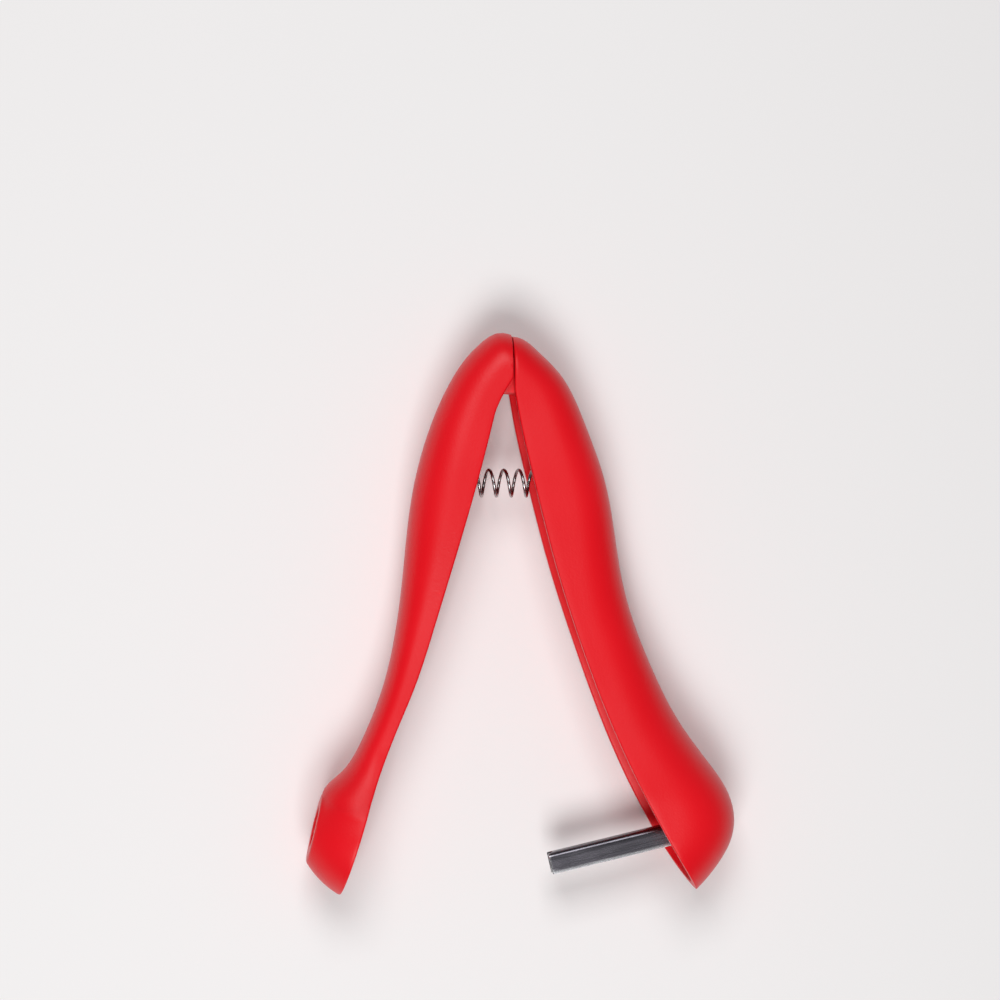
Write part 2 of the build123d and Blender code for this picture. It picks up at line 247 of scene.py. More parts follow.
def crossing(first: np.ndarray, second: np.ndarray) -> tuple[np.ndarray, int]:
    """Where one path of a side view first crosses another.

    Args:
        first: The path that is followed.
        second: The path that is crossed.

    Returns:
        The point, and the number of the first path's point before it.
    """
    a, b = first[:-1, None], first[1:, None]
    c, d = second[None, :-1], second[None, 1:]
    one, two, gap = b - a, d - c, c - a
    area = one[..., 0] * two[..., 1] - one[..., 1] * two[..., 0]
    area = np.where(np.abs(area) < SIDE_BY_SIDE, np.nan, area)
    s = (gap[..., 0] * two[..., 1] - gap[..., 1] * two[..., 0]) / area
    t = (gap[..., 0] * one[..., 1] - gap[..., 1] * one[..., 0]) / area
    hits = np.argwhere((s >= 0) & (s <= 1) & (t >= 0) & (t <= 1))
    i, j = hits[0]
    return first[i] + (first[i + 1] - first[i]) * s[i, j], int(i)


def rounded(corner: Point, start: Point, end: Point, steps: int = 4) -> np.ndarray:
    """Points of a small rounding at a corner.

    Args:
        corner: The corner that is rounded off.
        start: Where the rounding starts.
        end: Where it ends.
        steps: Number of its segments.

    Returns:
        The points, from start to end.
    """
    a, b, c = (np.asarray(p, float) for p in (start, corner, end))
    s = np.linspace(0, 1, steps + 1)[:, None]
    return (1 - s) ** 2 * a + 2 * (1 - s) * s * b + s ** 2 * c


def bulged(start: np.ndarray, end: np.ndarray, count: int, bulge: float = 0.0) -> np.ndarray:
    """Points of a line that bulges out to one side.

    Args:
        start: Where it starts.
        end: Where it ends.
        count: How many points.
        bulge: How far its middle stands out, or 0 for a straight line.

    Returns:
        The points, one row each.
    """
    chord = end - start
    out = np.array([chord[1], -chord[0]]) / np.linalg.norm(chord) * bulge
    s = np.linspace(0, 1, count)[:, None]
    return start + chord * s + out * 4 * s * (1 - s)


def stand(name: str, data: bpy.types.ID) -> Thing:
    """Puts a new object into the scene.

    Args:
        name: Its name.
        data: Its mesh, camera or lamp.

    Returns:
        The new object.
    """
    thing = bpy.data.objects.new(name, data)
    bpy.context.scene.collection.objects.link(thing)
    return thing


class Shells:
    """A mesh under construction, made of closed shells in millimetres from the hinge axis."""

    def __init__(self) -> None:
        """Starts with nothing in it."""
        self.mesh = bmesh.new()

    def rings(self, rings: Sequence, cap: Cap) -> "Shells":
        """Adds a shell through closed rings of points.

        Args:
            rings: The points of each ring.
            cap: How the two ends are closed. A ladder joins each point of a ring's first half
                to its partner in the second half.

        Returns:
            These shells.
        """
        around = len(rings[0])
        rows = [[self.mesh.verts.new(point) for point in ring] for ring in rings]
        for one, two in zip(rows, rows[1:]):
            for i in range(around):
                k = (i + 1) % around
                self.mesh.faces.new((one[i], one[k], two[k], two[i]))
        for row in (rows[0], rows[-1]):
            if cap is Cap.FLAT:
                self.mesh.faces.new(row)
            if cap is Cap.LADDER:
                for i in range(around // 2 - 1):
                    k = around - 1 - i
                    self.mesh.faces.new((row[i], row[i + 1], row[k - 1], row[k]))
        return self.tidy()

    def tidy(self) -> "Shells":
        """Welds double points, drops faces without area and turns every face outwards.

        Returns:
            These shells.
        """
        bmesh.ops.remove_doubles(self.mesh, verts=self.mesh.verts, dist=WELD)
        bmesh.ops.dissolve_degenerate(self.mesh, edges=self.mesh.edges, dist=WELD)
        bmesh.ops.recalc_face_normals(self.mesh, faces=self.mesh.faces)
        return self

    def turned(self, outline: Rows, origin: Vector, axis: Vector, steps: int) -> "Shells":
        """Adds a shell turned about an axis.

        Args:
            outline: Radius and distance along the axis of each point of a closed outline, or of
                an open one that starts and ends on the axis.
            origin: Where the axis starts.
            axis: The way of the axis.
            steps: Points around.

        Returns:
            These shells.
        """
        way = axis.normalized()
        side = way.orthogonal().normalized()
        across = way.cross(side)
        rings = []
        for i in range(steps):
            turn = 2 * math.pi * i / steps
            out = side * math.cos(turn) + across * math.sin(turn)
            rings.append([origin + out * radius + way * along for radius, along in outline])
        rings.append(rings[0])
        return self.rings(rings, Cap.NONE)

    def plate(self, outline: Rows, low: float, high: float, edge: float) -> "Shells":
        """Adds a flat plate of the side view, with its edges rounded.

        Args:
            outline: Corners of the plate.
            low: Height of one face.
            high: Height of the other face.
            edge: Width of the rounding.

        Returns:
            These shells.
        """
        plate = bmesh.new()
        bottom = [plate.verts.new((x, y, low)) for x, y in outline]
        top = [plate.verts.new((x, y, high)) for x, y in outline]
        plate.faces.new(bottom)
        plate.faces.new(top)
        for i, start in enumerate(bottom):
            k = (i + 1) % len(bottom)
            plate.faces.new((start, bottom[k], top[k], top[i]))
        bmesh.ops.recalc_face_normals(plate, faces=plate.faces)
        bmesh.ops.bevel(
            plate, geom=plate.edges, offset=edge, segments=2, profile=0.5, affect="EDGES"
        )
        return self.take(plate)

    def take(self, other: bmesh.types.BMesh) -> "Shells":
        """Moves all of another mesh in here.

        Args:
            other: The mesh, which is used up.

        Returns:
            These shells.
        """
        held = bpy.data.meshes.new("held")
        other.to_mesh(held)
        other.free()
        self.mesh.from_mesh(held)
        bpy.data.meshes.remove(held)
        return self

    def carve(self, tool: "Shells", leaves: Cut) -> "Shells":
        """Cuts these shells with another's.

        Args:
            tool: The solid to cut with, which is used up.
            leaves: Whether what lies outside or inside that solid is left.

        Returns:
            These shells.
        """
        made = []
        for name, shells in (("carved", self), ("tool", tool)):
            mesh = bpy.data.meshes.new(name)
            shells.mesh.to_mesh(mesh)
            made.append(stand(name, mesh))
        cut = made[0].modifiers.new("cut", "BOOLEAN")
        cut.operation = leaves.value
        cut.solver = "EXACT"
        cut.object = made[1]
        graph = bpy.context.evaluated_depsgraph_get()
        result = bpy.data.meshes.new_from_object(made[0].evaluated_get(graph))
        self.mesh.free()
        tool.mesh.free()
        self.mesh = bmesh.new()
        self.mesh.from_mesh(result)
        bpy.data.meshes.remove(result)
        for obj in made:
            mesh = obj.data
            bpy.data.objects.remove(obj)
            bpy.data.meshes.remove(mesh)
        return self.tidy()

    def tree(self) -> BVHTree:
        """Gets these shells ready for nearest().

        Returns:
            The tree of their faces.
        """
        self.mesh.normal_update()
        self.mesh.faces.ensure_lookup_table()
        return BVHTree.FromBMesh(self.mesh)

    def nearest(self, tree: BVHTree, point: Vector) -> tuple[float, Vector]:
        """The place of these shells that is nearest to a point.

        Args:
            tree: What tree() gave.
            point: The point.

        Returns:
            Its distance, and its smooth normal.
        """
        place, _, number, distance = tree.find_nearest(point)
        corners = self.mesh.faces[number].verts
        shares = poly_3d_calc([corner.co for corner in corners], place)
        parts = (corner.normal * share for corner, share in zip(corners, shares))
        return distance, sum(parts, Vector()).normalized()

    def finish(self, name: str, hinge: Hinge, finish: "Finish") -> Thing:
        """Makes the object in the frame.

        Args:
            name: The piece's name.
            hinge: Where the hinge stands.
            finish: The surface finish.

        Returns:
            The new object, smoothly shaded except at its sharp edges.
        """
        bmesh.ops.transform(self.mesh, matrix=hinge.matrix(), verts=self.mesh.verts)
        for face in self.mesh.faces:
            face.smooth = True
        mesh = bpy.data.meshes.new(name)
        self.mesh.to_mesh(mesh)
        self.mesh.free()
        mesh.set_sharp_from_angle(angle=SMOOTH_ANGLE)
        mesh.materials.append(finish.material())
        return stand(name, mesh)


@dataclass(frozen=True)
class MouldedArm:
    """Hollow arm with flat sides and a rounded back, open along its lip."""

    side: int
    angle: float
    back: Rows
    widths: Rows
    roundings: Rows
    root_depth: float
    fan_reach: float
    tip_fan_reach: float
    fan_spread: float = 0.22
    fan_ease: float = 9.0
    wall: float = 2.0
    fullness: float = 0.6
    lip_edge: float = 0.45
    step: float = 0.9
    first_step: float = 0.05
    least_slant: float = 0.2
    edge_share: float = 0.45
    drop_share: float = 0.3
    overrun: float = 0.3
    back_points: int = 1500
    core_points: int = 90
    bow_points: int = 14
    side_points: int = 4
    edge_points: int = 4

    def place(self, rows: np.ndarray) -> np.ndarray:
        """Points of the side view from rows of reach and depth.

        Args:
            rows: Reach and depth of each point.

        Returns:
            The points, one row each.
        """
        turn = math.radians(self.angle)
        reach, depth = np.asarray(rows, float).T
        across = reach * math.sin(turn) + depth * math.cos(turn)
        along = depth * math.sin(turn) - reach * math.cos(turn)
        return np.stack([self.side * across, along], axis=1)

    def root_reach(self, reach: np.ndarray) -> np.ndarray:
        """Where the sections end: they spread like a fan at the hinge end and at the tip.

        Args:
            reach: The reach of each section at the arm's back.

        Returns:
            Its reach at the root.
        """
        top = self.back[0][0]
        upper = greater(reach, self.fan_reach + self.fan_spread * (reach - top), self.fan_ease)
        tip = self.tip_fan_reach
        return -greater(-upper, -tip - self.fan_spread * (reach - tip), self.fan_ease)

    def sections(self, count: int) -> tuple[np.ndarray, np.ndarray, np.ndarray]:
        """Where the arm's sections lie.

        Args:
            count: How many sections.

        Returns:
            The points of the back and of the root, and the reach of each section.
        """
        rows = SmoothLine(self.back).sample(count)
        reach = rows[:, 0]
        roots = np.stack([self.root_reach(reach), np.full(count, self.root_depth)], axis=1)
        return self.place(rows), self.place(roots), reach

    def across(self, reach: float) -> tuple[float, float]:
        """The width of the section at one reach, and how far its rounding reaches in."""
        at = np.array([reach])
        return float(eased(self.widths, at)[0]), float(eased(self.roundings, at)[0])

    def bow(self, width: float, rounding: float, inset: float) -> tuple[np.ndarray, np.ndarray]:
        """Rounded back of one section, from its crown to the flat side.

        Args:
            width: The section's width.
            rounding: How far the rounding reaches in from the back.
            inset: The distance in from the outside.

        Returns:
            Distances in from the back, and the height over the middle at each.
        """
        s = np.linspace(0, 1, 4 * self.bow_points + 1)
        half = width / 2 - inset
        pull = rounding - (rounding - inset) * self.fullness
        weights = [(1 - s) ** 3, 3 * (1 - s) ** 2 * s, 3 * (1 - s) * s ** 2, s ** 3]
        inward = inset * (weights[0] + weights[1]) + pull * weights[2] + rounding * weights[3]
        height = half * (self.fullness * weights[1] + weights[2] + weights[3])
        return inward, height

    def half_path(
        self, end: float, width: float, rounding: float, inset: float
    ) -> tuple[np.ndarray, float]:
        """One side of a section's outer or inner face, from near the lip to the crown.

        Args:
            end: Distance in from the back at which the path starts.
            width: The section's width.
            rounding: How far the rounding reaches in from the back.
            inset: The distance in from the outside.

        Returns:
            Distances in and heights of the points, and the height at the path's start.
        """
        inward, height = self.bow(width, rounding, inset)
        end = max(end, inset)
        bow_end = min(end, rounding)
        share = np.interp(bow_end, inward, np.linspace(0, 1, len(inward)))
        s = np.linspace(share, 0, self.bow_points + 1)
        knots = np.linspace(0, 1, len(inward))
        bow = np.stack([np.interp(s, knots, inward), np.interp(s, knots, height)], axis=1)
        straight = np.linspace(end, bow_end, self.side_points + 1)[:-1]
        side = np.stack([straight, np.full(self.side_points, bow[0, 1])], axis=1)
        return np.concatenate([side, bow]), float(bow[0, 1])

    def ring(self, end: float, slant: float, width: float, rounding: float) -> np.ndarray:
        """Closed outline of the wall at one section.

        Args:
            end: Distance in from the back at which the lip cuts the section.
            slant: Sine of the angle between the section and the lip.
            width: The section's width.
            rounding: How far the rounding reaches in from the back.

        Returns:
            Distances in and heights of the points, the outer face first.
        """
        edge = min(self.lip_edge / max(slant, self.least_slant), self.edge_share * end)
        inner_edge = min(edge, self.edge_share * max(end - self.wall, 0))
        _, outer_high = self.half_path(end, width, rounding, 0)
        inner_high = 0.0
        if end > self.wall:
            _, inner_high = self.half_path(end, width, rounding, self.wall)
        drop = min(self.lip_edge, self.drop_share * (outer_high - inner_high))
        paths = []
        for reach, inset, high, turn in (
            (end - edge, 0, outer_high, -1),
            (end - inner_edge, self.wall, inner_high, 1),
        ):
            if inset and end <= self.wall:
                count = self.edge_points + self.side_points + self.bow_points + 1
                path = np.tile([end, 0.0], (count, 1))
            else:
                path, start_high = self.half_path(reach, width, rounding, inset)
                lip, start = (end, high + turn * drop), (max(reach, inset), start_high)
                lip_edge = rounded((end, high), lip, start, self.edge_points)[:-1]
                path = np.concatenate([lip_edge, path])
            mirrored = path[-2::-1] * [1, -1]
            paths.append(np.concatenate([path, mirrored]))
        return np.concatenate([paths[0], paths[1][::-1]])

    def shell(self, mouth: np.ndarray, corners: list[float]) -> Shells:
        """The arm's wall, cut along its mouth.

        Args:
            mouth: Closely spaced points of the mouth's line, which starts on the back.
            corners: Distances along that line of its corners.

        Returns:
            The closed shell.
        """
        backs, roots, reach = self.sections(self.back_points)
        across = roots - backs
        spans = np.linalg.norm(across, axis=1)
        inward = across / spans[:, None]
        points = spaced(mouth, self.step, self.first_step, corners)
        ways = np.gradient(points, axis=0)
        ways /= np.linalg.norm(ways, axis=1)[:, None]
        rings = []
        last = 0
        for point, way in zip(points, ways):
            gap = point - backs
            off = inward[:, 0] * gap[:, 1] - inward[:, 1] * gap[:, 0]
            along = (gap * inward).sum(axis=1)
            flips = np.flatnonzero(np.signbit(off[:-1]) != np.signbit(off[1:]))
            inside = (along[flips] > -self.overrun) & (along[flips] < spans[flips])
            flips = flips[(flips >= last - 2) & inside]
            if len(flips) == 0:
                continue
            last = int(flips[0])
            part = off[last] / (off[last] - off[last + 1])
            back = backs[last] * (1 - part) + backs[last + 1] * part
            toward = inward[last] * (1 - part) + inward[last + 1] * part
            toward /= np.linalg.norm(toward)
            place = reach[last] * (1 - part) + reach[last + 1] * part
            end = max(float((point - back) @ toward), 0.0)
            slant = abs(toward[0] * way[1] - toward[1] * way[0])
            width, rounding = self.across(place)
            outline = self.ring(end, slant, width, rounding)
            flat = back + outline[:, :1] * toward
            rings.append(np.concatenate([flat, outline[:, 1:]], axis=1))
        return Shells().rings(rings, Cap.LADDER)

    def core(self, inset: float) -> Shells:
        """Solid that fills the arm out to a depth in its wall, to trim what stands inside.

        Args:
            inset: The distance in from the outside.

        Returns:
            The closed solid.
        """
        backs, roots, reach = self.sections(self.core_points)
        rings = []
        for back, root, place in zip(backs, roots, reach):
            span = np.linalg.norm(root - back)
            width, rounding = self.across(place)
            path, _ = self.half_path(span, width, rounding, inset)
            outline = np.concatenate([path, path[-2::-1] * [1, -1]])
            flat = back + outline[:, :1] * (root - back) / span
            rings.append(np.concatenate([flat, outline[:, 1:]], axis=1))
        return Shells().rings(rings, Cap.FLAT)


@dataclass(frozen=True)
class SpringSeat:
    """Round seat with a spigot that one end of the spring stands on."""

    x: float
    toward: int
    drop: float = 23.6
    radius: float = 4.2
    spigot_radius: float = 2.2
    spigot_length: float = 5.0
    chamfer: float = 0.6
    edge: float = 0.35
    root: float = 15.0
    steps: int = 48

    def shell(self, arm: MouldedArm) -> Shells:
        """The seat, trimmed to the arm that it stands in.

        Args:
            arm: The arm whose wall carries the seat.

        Returns:
            The closed shell.
        """
        tip, spigot = self.spigot_length, self.spigot_radius
        outline = (
            (0, tip), (spigot - self.chamfer, tip), (spigot, tip - self.chamfer),
            (spigot, self.edge), (spigot + self.edge, 0), (self.radius - self.edge, 0),
            (self.radius, -self.edge), (self.radius, -self.root), (0, -self.root),
        )
        seat = Shells().turned(
            outline, Vector((self.x, -self.drop, 0)), Vector((self.toward, 0, 0)), self.steps
        )
        return seat.carve(arm.core(arm.wall / 2), Cut.INSIDE)


@dataclass(frozen=True)
class HingeFit:
    """The sizes that both arms share around the pin."""

    pin_radius: float = 1.52
    boss_radius: float = 3.1
    ear_radius: float = 3.4
    ear_inner: float = 3.0
    ear_thickness: float = 2.3
    ear_gap: float = 0.2
    ear_root_x: float = 4.4
    ear_rise: float = 5.0
    ear_drop: float = 3.8
    width: float = 17.0
    seam_x: float = 3.25
    seam_gap: float = 0.3
    edge: float = 0.25
    steps: int = 48


@dataclass(frozen=True)
class CupArm:
    """The left arm, with the cup that holds the cherry at its end."""

    fit: HingeFit
    arm: MouldedArm = MouldedArm(
        side=-1,
        angle=16.0,
        back=(
            (-10.1, -1.5), (-9.9, 2.2), (-6.0, 5.9), (-2.5, 7.75), (3.6, 9.7), (10.5, 10.9),
            (20.0, 11.5), (30.0, 11.05), (40.5, 9.5), (51.0, 7.6), (62.0, 6.05), (73.0, 5.45),
            (84.4, 6.4), (90.6, 7.6), (94.0, 8.9), (97.0, 10.8), (99.8, 11.9), (103.0, 11.2),
        ),
        widths=((0, 17.0), (25, 18.6), (75, 14.4), (86, 14.4), (103, 20.0)),
        roundings=((0, 8.0), (25, 8.8), (75, 4.2), (86, 4.2), (103, 9.0)),
        root_depth=-5.4,
        fan_reach=4.7,
        tip_fan_reach=400.0,
    )
    lip: Rows = ((8.0, -1.3), (14.0, -1.5), (57.0, -1.5), (72.0, -0.95), (82.0, 0.2), (92.0, 1.1))
    nose_bulge: float = 0.3
    cup_reach: float = 107.9
    rim_depth: float = 1.6
    tilt: float = 1.5
    radius: float = 13.0
    depth: float = 10.05
    base_radius: float = 7.5
    base_tilt: float = 4.0
    side_bulge: float = 0.8
    base_edge: float = 0.5
    rim_edge: float = 0.4
    outlet_radius: float = 4.6
    outlet_edge: float = 0.35
    melt: float = 5.0
    skin: float = 0.1
    least_alike: float = 0.2
    on_skin: float = 0.8
    bore_start: float = 5.0
    bore_end: float = 12.0
    seat: SpringSeat = SpringSeat(x=-13.5, toward=1)
    steps: int = 144
    seam_points: int = 40
    nose_points: int = 20
    lip_points: int = 300
    rim_points: int = 30
    bowl_points: int = 60
    side_points: int = 14

    def rim_way(self) -> np.ndarray:
        """The way of the cup's rim, outwards, in the side view."""
        turn = math.radians(self.arm.angle + self.tilt)
        return np.array([-math.sin(turn), -math.cos(turn)])

    def centre(self) -> np.ndarray:
        """The middle of the cup's rim in the side view."""
        return self.arm.place([(self.cup_reach, self.rim_depth)])[0]

    def mouth(self) -> tuple[np.ndarray, list[float]]:
        """The line along which the arm is open.

        Returns:
            Closely spaced points from the top of the seam to past the cup's rim, and the
            distances of the line's corners.
        """
        seam = self.fit.seam_x - self.fit.seam_gap / 2
        nose = np.array([seam, -self.fit.seam_gap])
        lip = self.arm.place(self.lip)
        arc = bulged(nose, lip[0], self.nose_points, self.nose_bulge)
        rim_start = self.centre() - self.rim_way() * self.radius
        across = np.linspace(0, self.radius, self.rim_points)[:, None]
        rim = rim_start + self.rim_way() * across
        backs, _, _ = self.arm.sections(self.arm.back_points)
        top, _ = crossing(np.array([[seam, SEAM_START], nose]), backs[:HINGE_SAMPLES])
        down = bulged(top, nose, self.seam_points)
        run = SmoothLine(lip).sample(self.lip_points)
        path = np.concatenate([down, arc[1:], run[1:], rim])
        at = lengths_along(path)
        return path, [float(at[len(down) - 1]), float(at[-len(rim)])]

    def cup_origin(self) -> Vector:
        """The middle of the cup's rim."""
        return Vector((*self.centre(), 0))

    def cup_axis(self) -> Vector:
        """The way from the cup's rim to its base."""
        way = self.rim_way()
        return Vector((way[1], -way[0], 0))

    def base_depth(self, radius: float, turn: float, inset: float) -> float:
        """How far the tilted base lies below the rim: turn 0 is the way away from the hinge."""
        tilt = math.radians(self.base_tilt)
        return self.depth - inset / math.cos(tilt) - radius * math.cos(turn) * math.tan(tilt)

    def bowl_side(self, inset: float, turn: float) -> np.ndarray:
        """One face of the bowl's side, from its rim to the flat of its base.

        Args:
            inset: The distance in from the outside.
            turn: Angle round the cup's axis.

        Returns:
            Radius and depth of the points, with a rounded corner at the base.
        """
        rim = np.array([self.radius - inset, 0.0])
        base = np.array([self.base_radius - inset, self.depth - inset])
        side = bulged(rim, base, self.bowl_points, self.side_bulge)
        side = np.concatenate([side, [base + [0, self.arm.wall]]])
        foot = np.array([[0.0, self.base_depth(0, turn, inset)],
                         [self.radius, self.base_depth(self.radius, turn, inset)]])
        corner, last = crossing(side, foot)
        path = np.concatenate([side[:last + 1], [corner]])
        along = lengths_along(path)
        at = np.linspace(0, along[-1] - self.base_edge, self.side_points)
        side = np.stack([np.interp(at, along, path[:, i]) for i in range(2)], axis=1)
        inner = corner[0] - self.base_edge
        end = np.array([inner, self.base_depth(inner, turn, inset)])
        return np.concatenate([side, rounded(corner, side[-1], end)[1:]])

    def bowl_ring(self, turn: float) -> np.ndarray:
        """Closed outline of the bowl's wall at one angle round its axis.

        Args:
            turn: The angle, from the way away from the hinge.

        Returns:
            Radius and depth of the points.
        """
        wall, edge, hole, lip = self.arm.wall, self.rim_edge, self.outlet_radius, self.outlet_edge
        low, low_out = (self.base_depth(r, turn, 0) for r in (hole, hole + lip))
        high, high_out = (self.base_depth(r, turn, wall) for r in (hole, hole + lip))
        rim_in, rim_out = self.radius - wall, self.radius
        return np.concatenate([
            rounded((rim_out, 0), (rim_out - edge, 0), self.bowl_side(0, turn)[1]),
            self.bowl_side(0, turn)[2:],
            rounded((hole, low), (hole + lip, low_out), (hole, low - lip)),
            rounded((hole, high), (hole, high + lip), (hole + lip, high_out)),
            self.bowl_side(wall, turn)[:1:-1],
            rounded((rim_in, 0), self.bowl_side(wall, turn)[1], (rim_in + edge, 0)),
        ])

    def about_cup(self, outlines: list[np.ndarray], cap: Cap) -> Shells:
        """Shell through outlines at even angles round the cup's axis.

        Args:
            outlines: Radius and depth of the points of each outline.
            cap: How the ends are closed.

        Returns:
            The closed shell.
        """
        origin, axis = self.cup_origin(), self.cup_axis()
        side = Vector((*self.rim_way(), 0))
        rings = []
        for i, outline in enumerate(outlines + outlines[:1]):
            turn = 2 * math.pi * i / self.steps
            out = side * math.cos(turn) + Vector((0, 0, 1)) * math.sin(turn)
            rings.append([origin + out * float(r) + axis * float(d) for r, d in outline])
        return Shells().rings(rings, cap)

    def turns(self) -> np.ndarray:
        """Even angles round the cup's axis."""
        return np.linspace(0, 2 * math.pi, self.steps, endpoint=False)

    def bowl(self) -> Shells:
        """The cup's wall, with its rounded rim, tilted base and stone outlet."""
        return self.about_cup([self.bowl_ring(turn) for turn in self.turns()], Cap.NONE)

    def bowl_filling(self) -> Shells:
        """Solid out to the middle of the bowl's wall, to trim the arm that runs into it.

        Returns:
            The closed solid.
        """
        inset = self.arm.wall / 2
        outlines = []
        for turn in self.turns():
            top = [[0.0, -self.radius], [self.radius - inset, -self.radius]]
            base = [[0.0, self.base_depth(0, turn, inset)]]
            outlines.append(np.concatenate([top, self.bowl_side(inset, turn), base]))
        return self.about_cup(outlines, Cap.NONE)

    def soften(self, piece: Thing, hinge: Hinge) -> None:
        """Blends the shading of the arm and the bowl where one runs into the other.

        Args:
            piece: The finished moulding.
            hinge: Where the hinge stands.
        """
        solids = [self.arm.core(0), self.bowl()]
        trees = [solid.tree() for solid in solids]
        to_drawing = hinge.matrix().inverted()
        mesh = piece.data
        blends = {}
        for vertex in mesh.vertices:
            point = to_drawing @ vertex.co
            finds = [solid.nearest(tree, point) for solid, tree in zip(solids, trees)]
            near, far = sorted(finds, key=lambda find: find[0])
            alike = near[1].dot(far[1]) > self.least_alike
            if near[0] < self.skin and far[0] < self.melt and alike:
                blends[vertex.index] = near[1], far[1], (1 - far[0] / self.melt) ** 2 / 2
        normals = [corner.vector.copy() for corner in mesh.corner_normals]
        for loop in mesh.loops:
            own, other, share = blends.get(loop.vertex_index, (None, None, 0))
            normal = normals[loop.index]
            if own and normal.dot(own) > self.on_skin:
                normals[loop.index] = (normal * (1 - share) + other * share).normalized()
        mesh.normals_split_custom_set(normals)
        for solid in solids:
            solid.mesh.free()

    def bosses(self) -> Shells:
        """The two bosses that hold the ends of the pin.

        Returns:
            Their closed shells.
        """
        fit = self.fit
        face = fit.ear_inner + fit.ear_thickness + fit.ear_gap
        root = (fit.width - self.arm.wall) / 2
        hole, radius, edge = fit.pin_radius, fit.boss_radius, fit.edge
        shells = Shells()
        for way in (1, -1):
            outline = (
                (hole, root), (hole, face + edge), (hole + edge, face), (radius - edge, face),
                (radius, face + edge), (radius, root), (hole, root),
            )
            shells.turned(outline, Vector((0, 0, 0)), Vector((0, 0, way)), fit.steps)
        return shells

    def pin_bore(self) -> Shells:
        """Solid of the hole through the lower side wall, through which the pin goes in.

        Returns:
            The closed solid.
        """
        radius, start, end = self.fit.pin_radius, self.bore_start, self.bore_end
        outline = ((0, start), (radius, start), (radius, end), (0, end))
        return Shells().turned(outline, Vector((0, 0, 0)), Vector((0, 0, -1)), self.fit.steps)

    def build(self, hinge: Hinge, finish: "Finish") -> Thing:
        """Makes the moulding and hangs it on its body.

        Args:
            hinge: Where the hinge stands.
            finish: The plastic.

        Returns:
            The finished piece.
        """
        mouth, corners = self.mouth()
        shell = self.arm.shell(mouth, corners)
        shell.carve(self.bowl_filling(), Cut.OUTSIDE)
        shell.carve(self.pin_bore(), Cut.OUTSIDE)
        for part in (self.bowl(), self.bosses(), self.seat.shell(self.arm)):
            shell.take(part.mesh)
        piece = shell.finish("cup_arm_moulding", hinge, finish)
        self.soften(piece, hinge)
        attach(piece, Body.CUP_ARM.value)
        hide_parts("cup_arm")
        return piece


@dataclass(frozen=True)
class PunchSheet:
    """The folded steel channel that pushes the stone out."""

    reach: float = 108.9
    angle: float = 13.1
    tip: float = 13.0
    root: float = 24.0
    height: float = 4.8
    width: float = 4.2
    sheet: float = 0.8
    bend: float = 1.1
    notch_radius: float = 1.3
    edge: float = 0.14
    support: float = 0.3
    stations: int = 24
    bend_points: int = 8
    leg_points: int = 6
    web_points: int = 8

    def origin(self) -> Vector:
        """The point on the punch's middle line from which its ends are measured."""
        turn = math.radians(self.angle)
        return Vector((math.sin(turn), -math.cos(turn), 0)) * self.reach

    def ahead(self) -> Vector:
        """The way that the punch points."""
        turn = math.radians(self.angle)
        return Vector((-math.cos(turn), -math.sin(turn), 0))

    def rise(self) -> Vector:
        """The way from the punch's open side to its web, towards the hinge."""
        ahead = self.ahead()
        return Vector((ahead.y, -ahead.x, 0))

    def path(self, inset: float) -> np.ndarray:
        """Half outline of the channel at a distance in from its faces.

        Args:
            inset: The distance in from the faces, for the rounding of the ends.

        Returns:
            Closed outline: width and height of the points, the outer face first.
        """
        top = self.height / 2
        halves = []
        for skin in (inset, self.sheet - inset):
            half, roof, radius = self.width / 2 - skin, top - skin, self.bend - skin
            foot = -top + inset
            leg = [(half, h) for h in np.linspace(foot, roof - radius, self.leg_points)]
            turns = np.linspace(0, math.pi / 2, self.bend_points + 1)[1:]
            bend = [(half - radius + radius * math.cos(t), roof - radius + radius * math.sin(t))
                    for t in turns]
            web = [(w, roof) for w in np.linspace(half - radius, 0, self.web_points + 1)[1:]]
            path = np.array(leg + bend + web)
            halves.append(np.concatenate([path, path[-2::-1] * [-1, 1]]))
        return np.concatenate([halves[0], halves[1][::-1]])

    def ring(self, inset: float, end: float, notched: bool) -> list[Vector]:
        """One ring of the channel.

        Args:
            inset: The distance in from the faces.
            end: How far ahead of the origin the ring lies.
            notched: Whether the ring draws back around the notch in the web.

        Returns:
            The ring's points.
        """
        points = []
        for wide, high in self.path(inset).tolist():
            notch = math.sqrt(max(self.notch_radius ** 2 - wide ** 2, 0)) if notched else 0
            ahead = self.ahead() * (end - notch)
            points.append(self.origin() + ahead + self.rise() * high + Vector((0, 0, wide)))
        return points

    def build(self, hinge: Hinge, finish: "Finish") -> Thing:
        """Makes the punch and hangs it on the punch arm's body.

        Args:
            hinge: Where the hinge stands.
            finish: The rolled steel.

        Returns:
            The finished piece.
        """
        edge, support = self.edge, self.edge + self.support
        rings = [self.ring(edge, -self.root, False), self.ring(0, edge - self.root, False)]
        last = self.tip - self.notch_radius - 2 * support
        stations = np.linspace(support - self.root, last, self.stations)
        rings += [self.ring(0, at, False) for at in stations]
        rings += [self.ring(0, self.tip - support, True), self.ring(0, self.tip - edge, True),
                  self.ring(edge, self.tip, True)]
        shells = Shells().rings(rings, Cap.LADDER)
        piece = shells.finish("punch_sheet", hinge, finish)
        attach(piece, Body.PUNCH_ARM.value)
        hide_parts("punch")
        return piece


